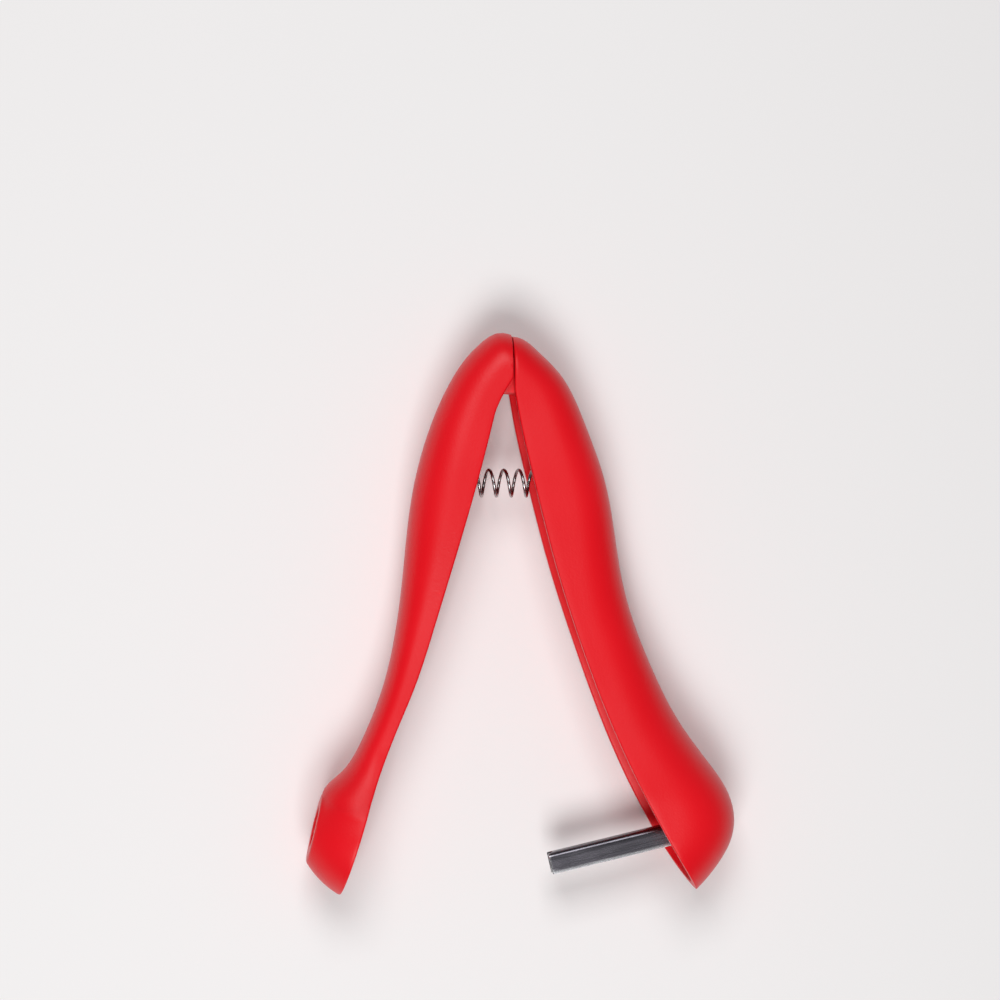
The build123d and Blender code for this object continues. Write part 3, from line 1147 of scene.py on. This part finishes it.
@dataclass(frozen=True)
class PunchArm:
    """The right arm, with the splash shield and the punch's socket at its end."""

    fit: HingeFit
    sheet: PunchSheet
    arm: MouldedArm = MouldedArm(
        side=1,
        angle=15.0,
        back=(
            (-8.4, 4.8), (-7.4, 7.2), (-3.3, 10.6), (3.2, 14.2), (9.2, 15.8), (17.0, 16.8),
            (28.3, 17.6), (39.2, 16.85), (50.0, 15.7), (61.0, 15.7), (72.8, 17.1), (84.6, 19.6),
            (96.0, 23.9), (103.0, 26.28), (108.5, 26.48), (113.6, 24.6), (118.4, 20.2),
            (122.0, 15.2), (124.3, 10.4), (125.4, 6.5),
        ),
        widths=((0, 17.0), (28, 18.6), (60, 18.0), (106, 26.0)),
        roundings=((0, 8.0), (28, 8.8), (60, 9.5), (106, 13.5)),
        root_depth=-1.3,
        fan_reach=5.4,
        tip_fan_reach=98.0,
    )
    lip: Rows = (
        (3.8, 2.5), (9.0, 2.0), (24.0, 1.4), (46.0, 1.3), (60.0, 2.0), (76.0, 3.35), (92.0, 5.6),
        (108.0, 9.1), (121.9, 13.4), (126.0, 15.0),
    )
    socket_front: float = 16.5
    socket_wall: float = 2.0
    socket_corner: float = 1.6
    socket_reach: float = 60.0
    socket_taper: float = 0.94
    ear_reach: float = 40.0
    seat: SpringSeat = SpringSeat(x=18.5, toward=-1)
    seam_points: int = 40
    lip_points: int = 500
    low_point: int = 300
    ear_points: int = 25
    corner_points: int = 6

    def mouth(self) -> tuple[np.ndarray, list[float]]:
        """The line along which the arm is open.

        Returns:
            Closely spaced points from the top of the seam to the shield's tip, and the
            distances of the line's corners.
        """
        seam = self.fit.seam_x + self.fit.seam_gap / 2
        lip = self.arm.place(self.lip)
        lip[0, 0] = seam
        backs, _, _ = self.arm.sections(self.arm.back_points)
        top, _ = crossing(np.array([[seam, SEAM_START], lip[0]]), backs[:HINGE_SAMPLES])
        down = bulged(top, lip[0], self.seam_points)
        run = SmoothLine(lip).sample(self.lip_points)
        end, last = crossing(run[self.low_point:], backs[TIP_SAMPLE:])
        path = np.concatenate([down, run[1:self.low_point + last + 1], [end]])
        return path, [float(lengths_along(down)[-1])]

    def ears(self) -> Shells:
        """The two ears that turn on the pin, without the part inside the wall.

        Returns:
            Their closed shells.
        """
        fit = self.fit
        neck_x = fit.ear_root_x + fit.ear_radius
        turns = np.linspace(math.pi / 2, 3 * math.pi / 2, self.ear_points)
        outline = [(neck_x, -fit.ear_drop), (neck_x, fit.ear_rise)]
        outline += [(fit.ear_radius * math.cos(t), fit.ear_radius * math.sin(t)) for t in turns]
        shells = Shells()
        for side in (1, -1):
            low, high = sorted((side * fit.ear_inner, side * (fit.ear_inner + fit.ear_thickness)))
            shells.plate(tuple(outline), low, high, fit.edge)
        return shells

    def ear_roots(self) -> Shells:
        """The thick parts that join the ears to the arm's side and back walls.

        Returns:
            Their closed shells, trimmed to the arm.
        """
        fit, far = self.fit, self.ear_reach
        outline = (
            (fit.ear_root_x, fit.ear_rise), (far, fit.ear_rise), (far, -fit.ear_drop),
            (fit.ear_root_x, -fit.ear_drop),
        )
        shells = Shells()
        for side in (1, -1):
            low, high = sorted((side * fit.ear_inner, side * (fit.width - self.arm.wall) / 2))
            shells.plate(outline, low, high, fit.edge)
        return shells.carve(self.arm.core(self.arm.wall / 2), Cut.INSIDE)

    def socket(self) -> Shells:
        """The block that grips the punch's root, trimmed to the shield's wall.

        Returns:
            The closed shell.
        """
        sheet = self.sheet
        half_wide = sheet.width / 2 + self.socket_wall
        half_high = sheet.height / 2 + self.socket_wall
        corner, steps = self.socket_corner, self.corner_points
        outline = []
        for quarter, (x, y) in enumerate(((1, 1), (-1, 1), (-1, -1), (1, -1))):
            for i in range(steps + 1):
                turn = math.pi / 2 * (quarter + i / steps)
                wide = x * (half_wide - corner) + corner * math.cos(turn)
                high = y * (half_high - corner) + corner * math.sin(turn)
                outline.append((wide, high))
        rings = []
        front, far = -self.socket_front, -self.socket_reach
        for at, shrink in ((far, 1), (front - self.fit.edge, 1), (front, self.socket_taper)):
            base = sheet.origin() + sheet.ahead() * at
            rings.append([base + sheet.rise() * (h * shrink) + Vector((0, 0, w * shrink))
                          for w, h in outline])
        block = Shells().rings(rings, Cap.FLAT)
        return block.carve(self.arm.core(self.arm.wall / 2), Cut.INSIDE)

    def build(self, hinge: Hinge, finish: "Finish") -> Thing:
        """Makes the moulding and hangs it on its body.

        Args:
            hinge: Where the hinge stands.
            finish: The plastic.

        Returns:
            The finished piece.
        """
        mouth, corners = self.mouth()
        shell = self.arm.shell(mouth, corners)
        for part in (self.ears(), self.ear_roots(), self.socket(), self.seat.shell(self.arm)):
            shell.take(part.mesh)
        piece = shell.finish("punch_arm_moulding", hinge, finish)
        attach(piece, Body.PUNCH_ARM.value)
        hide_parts("punch_arm")
        return piece


@dataclass(frozen=True)
class CoilSpring:
    """The compression spring that opens the arms."""

    start_x: float = -13.5
    end_x: float = 18.5
    drop: float = 23.6
    radius: float = 2.95
    wire: float = 0.35
    turns: float = 10.5
    end_pitch: float = 1.25
    end_turns: float = 0.75
    ramp_turns: float = 0.5
    seat_gap: float = 0.12
    steps_per_turn: int = 36
    steps_around: int = 12

    def advance(self, turns: float, pitch: float) -> float:
        """How far the wire has gone along the axis after some turns.

        Args:
            turns: Turns from the start.
            pitch: The pitch between the finer ends.

        Returns:
            The distance along the axis.
        """
        if turns > self.turns / 2:
            return 2 * self.advance(self.turns / 2, pitch) - self.advance(self.turns - turns, pitch)
        ramp = min(max(turns - self.end_turns, 0), self.ramp_turns)
        steep = max(turns - self.end_turns - self.ramp_turns, 0)
        more = (pitch - self.end_pitch) * (ramp ** 2 / (2 * self.ramp_turns) + steep)
        return self.end_pitch * turns + more

    def line(self) -> np.ndarray:
        """Points along the middle of the wire, with a short straight tail at each end.

        Returns:
            The points, one row each.
        """
        start = self.start_x + self.seat_gap + self.wire
        length = self.end_x - self.seat_gap - self.wire - start
        wide = self.turns - 2 * self.end_turns - self.ramp_turns
        pitch = (length - self.end_pitch * (self.turns - wide)) / wide
        points = []
        for turns in np.linspace(0, self.turns, round(self.turns * self.steps_per_turn) + 1):
            angle = 2 * math.pi * turns
            points.append((
                start + self.advance(turns, pitch), -self.drop + self.radius * math.cos(angle),
                self.radius * math.sin(angle),
            ))
        line = np.array(points)
        tail = 2 * self.wire
        first = line[0] - (line[1] - line[0]) / np.linalg.norm(line[1] - line[0]) * tail
        last = line[-1] + (line[-1] - line[-2]) / np.linalg.norm(line[-1] - line[-2]) * tail
        return np.concatenate([[first], line, [last]])

    def build(self, hinge: Hinge, finish: "Finish") -> Thing:
        """Makes the spring, which runs between the two arms' seats.

        Args:
            hinge: Where the hinge stands.
            finish: The drawn wire.

        Returns:
            The finished piece.
        """
        line = self.line()
        ways = np.gradient(line, axis=0)
        ways /= np.linalg.norm(ways, axis=1)[:, None]
        axis = np.array([0, -self.drop, 0])
        around = np.linspace(0, 2 * math.pi, self.steps_around, endpoint=False)
        rings = []
        for point, way in zip(line, ways):
            out = (point - axis) * [0, 1, 1]
            out -= way * (out @ way)
            out /= np.linalg.norm(out)
            up = np.cross(way, out)
            rings.append([
                point + self.wire * (out * math.cos(a) + up * math.sin(a)) for a in around
            ])
        piece = Shells().rings(rings, Cap.FLAT).finish("coil_spring", hinge, finish)
        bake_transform(piece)
        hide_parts("spring")
        return piece


@dataclass
class NodeSheet:
    """Adds nodes to one tree and links them."""

    tree: bpy.types.NodeTree

    def feed(self, node: Node, inputs: dict) -> None:
        """Fills inputs of a node.

        Args:
            node: The node.
            inputs: Socket names or numbers with a value, or with another node's output.
        """
        for name, value in inputs.items():
            if isinstance(value, Socket):
                self.tree.links.new(value, node.inputs[name])
            else:
                node.inputs[name].default_value = value

    def add(self, kind: str, inputs: dict | None = None, **settings: object) -> Node:
        """Adds one node.

        Args:
            kind: The node's type.
            inputs: What its inputs are filled with.
            settings: Other properties of the node.

        Returns:
            The new node.
        """
        node = self.tree.nodes.new(kind)
        for name, value in settings.items():
            setattr(node, name, value)
        self.feed(node, inputs or {})
        return node

    def surface(self) -> Socket:
        """The place on the object's surface, in metres."""
        return self.add("ShaderNodeTexCoord").outputs["Object"]

    def noise(
        self, place: Socket, scale: Value, detail: float, roughness: float = 0.5
    ) -> Socket:
        """Noise between 0 and 1 over the surface, with scale in waves per metre."""
        inputs = {"Vector": place, "Scale": scale, "Detail": detail, "Roughness": roughness}
        return self.add("ShaderNodeTexNoise", inputs).outputs["Fac"]

    def scaled(self, value: Socket, low: float, high: float) -> Socket:
        """Maps a value between 0 and 1 to the range from low to high."""
        return self.add("ShaderNodeMapRange", {0: value, 3: low, 4: high}).outputs[0]

    def times(self, first: Value, second: Value) -> Socket:
        """The product of two values."""
        return self.add("ShaderNodeMath", {0: first, 1: second}, operation="MULTIPLY").outputs[0]

    def mixed(self, share: Value, first: Colour, second: Colour) -> Socket:
        """Mixes two colours.

        Args:
            share: The share of the second one.
            first: A colour, or an output.
            second: A colour.

        Returns:
            The mixed colour.
        """
        colours = {
            name: colour if isinstance(colour, Socket) else (*colour, 1)
            for name, colour in (("A", first), ("B", second))
        }
        mix = self.add("ShaderNodeMix", {"Factor": share, **colours}, data_type="RGBA")
        return mix.outputs["Result"]

    def bump(self, height: Socket, depth: float, strength: float) -> Socket:
        """The normal of a surface with fine relief, whose depth is in metres."""
        inputs = {"Height": height, "Distance": depth, "Strength": strength}
        return self.add("ShaderNodeBump", inputs).outputs["Normal"]


class Effect:
    """A shader node group, built once and placed in each material with its own values."""

    name = "effect"
    inputs: tuple[tuple[str, str, object], ...] = ()
    outputs: tuple[tuple[str, str], ...] = ()

    def tree(self) -> bpy.types.NodeTree:
        """The group's tree, made at its first use.

        Returns:
            The tree.
        """
        made = bpy.data.node_groups.get(self.name)
        if made:
            return made
        tree = bpy.data.node_groups.new(self.name, "ShaderNodeTree")
        for name, kind, value in self.inputs:
            socket = tree.interface.new_socket(name, in_out="INPUT", socket_type=kind)
            socket.default_value = value
        for name, kind in self.outputs:
            tree.interface.new_socket(name, in_out="OUTPUT", socket_type=kind)
        sheet = NodeSheet(tree)
        start = sheet.add("NodeGroupInput")
        end = sheet.add("NodeGroupOutput")
        self.wire(sheet, start, end)
        return tree

    def wire(self, sheet: NodeSheet, start: Node, end: Node) -> None:
        """Fills the group between its start and its end."""
        raise NotImplementedError

    def place(self, sheet: NodeSheet, values: dict) -> Node:
        """Puts the group into a material, with values for its inputs."""
        return sheet.add("ShaderNodeGroup", values, node_tree=self.tree())


FLOAT = "NodeSocketFloat"


class MouldGrain(Effect):
    """The fine spark-eroded texture that a mould leaves on plastic, with slow unevenness."""

    name = "mould_grain"
    inputs = (("Grain per metre", FLOAT, 2500.0), ("Waves per metre", FLOAT, 45.0),
              ("Wave share", FLOAT, 0.3))
    outputs = (("Height", FLOAT), ("Mottle", FLOAT))

    def wire(self, sheet: NodeSheet, start: Node, end: Node) -> None:
        """Mixes a fine and a slow noise.

        Args:
            sheet: Where nodes are added.
            start: The group's input node.
            end: The group's output node.
        """
        place = sheet.surface()
        grain = sheet.noise(place, start.outputs["Grain per metre"], detail=2, roughness=0.6)
        waves = sheet.noise(place, start.outputs["Waves per metre"], detail=1)
        height = sheet.add("ShaderNodeMix", {
            "Factor": start.outputs["Wave share"], "A": grain, "B": waves,
        })
        sheet.feed(end, {"Height": height.outputs["Result"], "Mottle": waves})


class EdgeWearAndHighlight(Effect):
    """A mask of the outer edges, broken up by noise, where handling rubs a surface and where a
    highlight is painted along the edge.
    """

    name = "edge_wear_and_highlight"
    thinnest = 0.55
    inputs = (("Start", FLOAT, 0.52), ("Full", FLOAT, 0.6), ("Break up", FLOAT, 300.0))
    outputs = (("Mask", FLOAT),)

    def wire(self, sheet: NodeSheet, start: Node, end: Node) -> None:
        """Takes the surface's pointiness and thins it with noise.

        Args:
            sheet: Where nodes are added.
            start: The group's input node.
            end: The group's output node.
        """
        # Convex edges get the mask: it carries a painted edge highlight as well as rub wear.
        point = sheet.add("ShaderNodeNewGeometry").outputs["Pointiness"]
        edge = sheet.add("ShaderNodeMapRange", {
            0: point, 1: start.outputs["Start"], 2: start.outputs["Full"], 3: 0.0, 4: 1.0,
        }, clamp=True)
        noise = sheet.noise(sheet.surface(), start.outputs["Break up"], detail=3)
        mask = sheet.times(edge.outputs[0], sheet.scaled(noise, self.thinnest, 1.0))
        sheet.feed(end, {"Mask": mask})


class RolledLines(Effect):
    """Fine lines that rolling or drawing leaves along steel."""

    name = "rolled_lines"
    inputs = (("Lines per metre", FLOAT, 4000.0), ("Clouds per metre", FLOAT, 160.0),
              ("Turn", FLOAT, 0.0), ("Stretch", FLOAT, 0.03))
    outputs = (("Lines", FLOAT), ("Clouds", FLOAT))

    def wire(self, sheet: NodeSheet, start: Node, end: Node) -> None:
        """Stretches a noise along the metal's own direction.

        Args:
            sheet: Where nodes are added.
            start: The group's input node.
            end: The group's output node.
        """
        place = sheet.surface()
        turn = sheet.add("ShaderNodeVectorRotate", {
            "Vector": place, "Angle": start.outputs["Turn"],
        }, rotation_type="Z_AXIS")
        parts = sheet.add("ShaderNodeSeparateXYZ", {0: turn.outputs[0]}).outputs
        flat = sheet.add("ShaderNodeCombineXYZ", {
            "X": sheet.times(parts["X"], start.outputs["Stretch"]), "Y": parts["Y"],
            "Z": parts["Z"],
        })
        lines = sheet.noise(flat.outputs[0], start.outputs["Lines per metre"], detail=3)
        clouds = sheet.noise(place, start.outputs["Clouds per metre"], detail=2)
        sheet.feed(end, {"Lines": lines, "Clouds": clouds})


class Finish:
    """A surface finish, whose material is made once."""

    name = "finish"

    def material(self) -> bpy.types.Material:
        """The finish's material, made at its first use.

        Returns:
            The material.
        """
        made = bpy.data.materials.get(self.name)
        if made:
            return made
        made = bpy.data.materials.new(self.name)
        made.use_nodes = True
        sheet = NodeSheet(made.node_tree)
        self.dress(sheet, made.node_tree.nodes["Principled BSDF"])
        return made

    def dress(self, sheet: NodeSheet, shader: Node) -> None:
        """Fills the material around its Principled shader."""
        raise NotImplementedError


@dataclass(frozen=True)
class SatinPlastic(Finish):
    """Red polypropylene with the mould's satin texture."""

    name: str = "satin_red_plastic"
    colour: Rgb = (0.82, 0.006, 0.014)
    shade: Rgb = (0.74, 0.003, 0.009)
    # Paler red for the edges: painted edge highlight, with some rub wear.
    wear_and_highlight_colour: Rgb = (0.92, 0.04, 0.045)
    wear_and_highlight: float = 0.35
    wear_and_highlight_start: float = 0.53
    wear_and_highlight_full: float = 0.62
    roughness: float = 0.38
    spread: float = 0.05
    specular: float = 0.26
    grain: float = 0.09 * MM
    relief: float = 0.6
    wave_share: float = 0.25
    glow: float = 0.06
    glow_reach: Rgb = (1.0, 0.12, 0.1)
    glow_depth: float = 0.6 * MM

    def dress(self, sheet: NodeSheet, shader: Node) -> None:
        """Mottled red with a fine bump, and slightly paler edges that are a painted highlight along
        the lips, with rub wear.

        Args:
            sheet: The material's nodes.
            shader: Its Principled shader.
        """
        grain = MouldGrain().place(sheet, {"Wave share": self.wave_share})
        wear_and_highlight = EdgeWearAndHighlight().place(sheet, {"Start": self.wear_and_highlight_start, "Full": self.wear_and_highlight_full})
        mottle, rough = grain.outputs["Mottle"], self.roughness
        base = sheet.mixed(mottle, self.shade, self.colour)
        # Paler edges mixed into the red: painted highlight along the lips, with rub wear.
        edge = sheet.times(wear_and_highlight.outputs["Mask"], self.wear_and_highlight)
        sheet.feed(shader, {
            "Base Color": sheet.mixed(edge, base, self.wear_and_highlight_colour),
            "Roughness": sheet.scaled(mottle, rough - self.spread, rough + self.spread),
            "Normal": sheet.bump(grain.outputs["Height"], self.grain, self.relief),
            "Specular IOR Level": self.specular,
            "Subsurface Weight": self.glow,
            "Subsurface Radius": self.glow_reach,
            "Subsurface Scale": self.glow_depth,
        })


@dataclass(frozen=True)
class BareSteel(Finish):
    """Plain steel with the lines of its rolling or drawing."""

    name: str = "rolled_steel"
    dark: Rgb = (0.075, 0.071, 0.083)
    light: Rgb = (0.13, 0.124, 0.142)
    # Pale grey for the edges: painted highlight along the bends and raw edges, with rub wear.
    wear_and_highlight_colour: Rgb = (0.62, 0.62, 0.64)
    wear_and_highlight_start: float = 0.52
    wear_and_highlight_full: float = 0.58
    wear_and_highlight_grain: float = 900.0
    roughness: float = 0.24
    smoother: float = 0.08
    rougher: float = 0.12
    turn: float = 0.0
    lines: float = 0.01 * MM
    relief: float = 0.5

    def dress(self, sheet: NodeSheet, shader: Node) -> None:
        """Streaked grey metal, brighter along its edges, where a highlight is painted and handling
        rubs it.

        Args:
            sheet: The material's nodes.
            shader: Its Principled shader.
        """
        rolled = RolledLines().place(sheet, {"Turn": self.turn})
        wear_and_highlight = EdgeWearAndHighlight().place(sheet, {
            "Start": self.wear_and_highlight_start, "Full": self.wear_and_highlight_full, "Break up": self.wear_and_highlight_grain,
        })
        lines, rough = rolled.outputs["Lines"], self.roughness
        base = sheet.mixed(rolled.outputs["Clouds"], self.dark, self.light)
        sheet.feed(shader, {
            # Brighter edges mixed in: painted highlight, with rub wear.
            "Base Color": sheet.mixed(wear_and_highlight.outputs["Mask"], base, self.wear_and_highlight_colour),
            "Roughness": sheet.scaled(lines, rough - self.smoother, rough + self.rougher),
            "Normal": sheet.bump(lines, self.lines, self.relief),
            "Metallic": 1.0,
        })


@dataclass(frozen=True)
class StudioFloor(Finish):
    """Pale matt floor of the studio."""

    name: str = "studio_floor"
    colour: Rgb = (0.87, 0.852, 0.85)
    unevenness: float = 0.985
    waves: float = 6.0
    roughness: float = 0.85
    specular: float = 0.2
    side: float = 4.0
    below: float = 0.05 * MM

    def dress(self, sheet: NodeSheet, shader: Node) -> None:
        """A plain pale colour with hardly any unevenness.

        Args:
            sheet: The material's nodes.
            shader: Its Principled shader.
        """
        shade = tuple(part * self.unevenness for part in self.colour)
        noise = sheet.noise(sheet.surface(), self.waves, detail=2)
        sheet.feed(shader, {
            "Base Color": sheet.mixed(noise, shade, self.colour),
            "Roughness": self.roughness,
            "Specular IOR Level": self.specular,
        })

    def build(self, hinge: Hinge) -> Thing:
        """Lays the floor under the tool.

        Args:
            hinge: Where the hinge stands.

        Returns:
            The floor.
        """
        half = self.side / 2
        mesh = bpy.data.meshes.new("floor")
        ways = ((-1, -1), (1, -1), (1, 1), (-1, 1))
        corners = [(x * half + hinge.x, y * half, -self.below) for x, y in ways]
        mesh.from_pydata(corners, [], [(0, 1, 2, 3)])
        mesh.materials.append(self.material())
        floor = stand("floor", mesh)
        return floor


@dataclass(frozen=True)
class PhotoView:
    """Where the camera stands, from what the photograph shows of the tool.

    The tool is seen along its hinge axis, a little from the cup arm's side.
    """

    distance: float = 700 * MM
    lean: float = math.radians(5.1)
    middle_x: float = 0.8
    middle_y: float = -27.4
    film_width: float = 36.0
    nearest: float = 10 * MM

    def place(self, hinge: Hinge) -> Thing:
        """Puts up the camera.

        Args:
            hinge: Where the hinge stands.

        Returns:
            The camera object, which is also the scene's camera.
        """
        target = hinge.point(self.middle_x, self.middle_y)
        away = Vector((-math.sin(self.lean), 0, math.cos(self.lean)))
        data = bpy.data.cameras.new("photo_camera")
        data.sensor_width = self.film_width
        data.lens = self.film_width * self.distance / (PHOTO_SIDE * PIXEL)
        data.clip_start = self.nearest
        camera = stand("photo_camera", data)
        right = Vector((math.cos(self.lean), 0, math.sin(self.lean)))
        turn = Matrix((right, away.cross(right), away)).transposed().to_4x4()
        camera.matrix_world = Matrix.Translation(target + away * self.distance) @ turn
        bpy.context.scene.camera = camera
        return camera


@dataclass(frozen=True)
class SoftLamp:
    """One large soft lamp of the studio."""

    name: str
    azimuth: float
    elevation: float
    distance: float
    side: float
    watts: float

    def place(self, target: Vector) -> None:
        """Hangs the lamp so that it faces the target.

        Args:
            target: The point that the lamp faces, in metres.
        """
        data = bpy.data.lights.new(self.name, "AREA")
        data.shape = "SQUARE"
        data.size = self.side
        data.energy = self.watts
        lamp = stand(self.name, data)
        turn = math.radians(self.azimuth)
        rise = math.radians(self.elevation)
        flat = math.cos(rise)
        away = Vector((math.sin(turn) * flat, -math.cos(turn) * flat, math.sin(rise)))
        lamp.location = target + away * self.distance
        lamp.rotation_euler = away.to_track_quat("Z", "Y").to_euler()


@dataclass(frozen=True)
class Studio:
    """Plain soft light on a pale floor."""

    lamps: tuple[SoftLamp, ...] = (
        SoftLamp("back_lamp", azimuth=193, elevation=61, distance=0.9, side=0.4, watts=3.6),
        SoftLamp("front_lamp", azimuth=-13, elevation=61, distance=0.9, side=0.4, watts=5.0),
    )
    sky: Rgb = (0.97, 0.98, 1.0)
    sky_strength: float = 0.14
    middle_y: float = -30.0
    floor: StudioFloor = field(default_factory=StudioFloor)

    def build(self, hinge: Hinge) -> None:
        """Sets up the lamps, the surroundings and the floor.

        Args:
            hinge: Where the hinge stands.
        """
        scene = bpy.context.scene
        scene.view_settings.view_transform = "Standard"
        for lamp in self.lamps:
            lamp.place(hinge.point(0, self.middle_y))
        self.floor.build(hinge)
        world = bpy.data.worlds.new("studio")
        world.use_nodes = True
        back = world.node_tree.nodes["Background"]
        back.inputs["Color"].default_value = (*self.sky, 1)
        back.inputs["Strength"].default_value = self.sky_strength
        scene.world = world


def main() -> None:
    """Builds the tool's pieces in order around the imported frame, and the studio."""
    logging.basicConfig(level=logging.INFO, format="%(name)s: %(message)s")
    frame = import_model()
    hinge = Hinge(*frame["joints"][0]["pos_m"])
    PhotoView().place(hinge)
    fit = HingeFit()
    sheet = PunchSheet()
    plastic = SatinPlastic()
    sheet_steel = BareSteel(turn=math.radians(-sheet.angle))
    pin_steel = BareSteel(
        name="ground_steel", light=(0.5, 0.5, 0.52), roughness=0.25, lines=0.002 * MM
    )
    # The wire's colours are kept dark as painted shade, for the shade between the arms that it lies
    # in.
    wire_steel = BareSteel(
        name="drawn_wire", dark=(0.16, 0.15, 0.15), light=(0.34, 0.33, 0.33), roughness=0.24,
        lines=0.004 * MM,
    )
    pieces = [
        CupArm(fit).build(hinge, plastic),
        PunchArm(fit, sheet).build(hinge, plastic),
        sheet.build(hinge, sheet_steel),
        CoilSpring().build(hinge, wire_steel),
    ]
    pin = frame["nodes"]["hinge_pin"]
    pin.data.materials.clear()
    pin.data.materials.append(pin_steel.material())
    pieces.append(pin)
    for piece in pieces:
        mesh = piece.data
        LOG.info("%s: %d points, %d faces", piece.name, len(mesh.vertices), len(mesh.polygons))
    Studio().build(hinge)


if __name__ == "__main__":
    main()
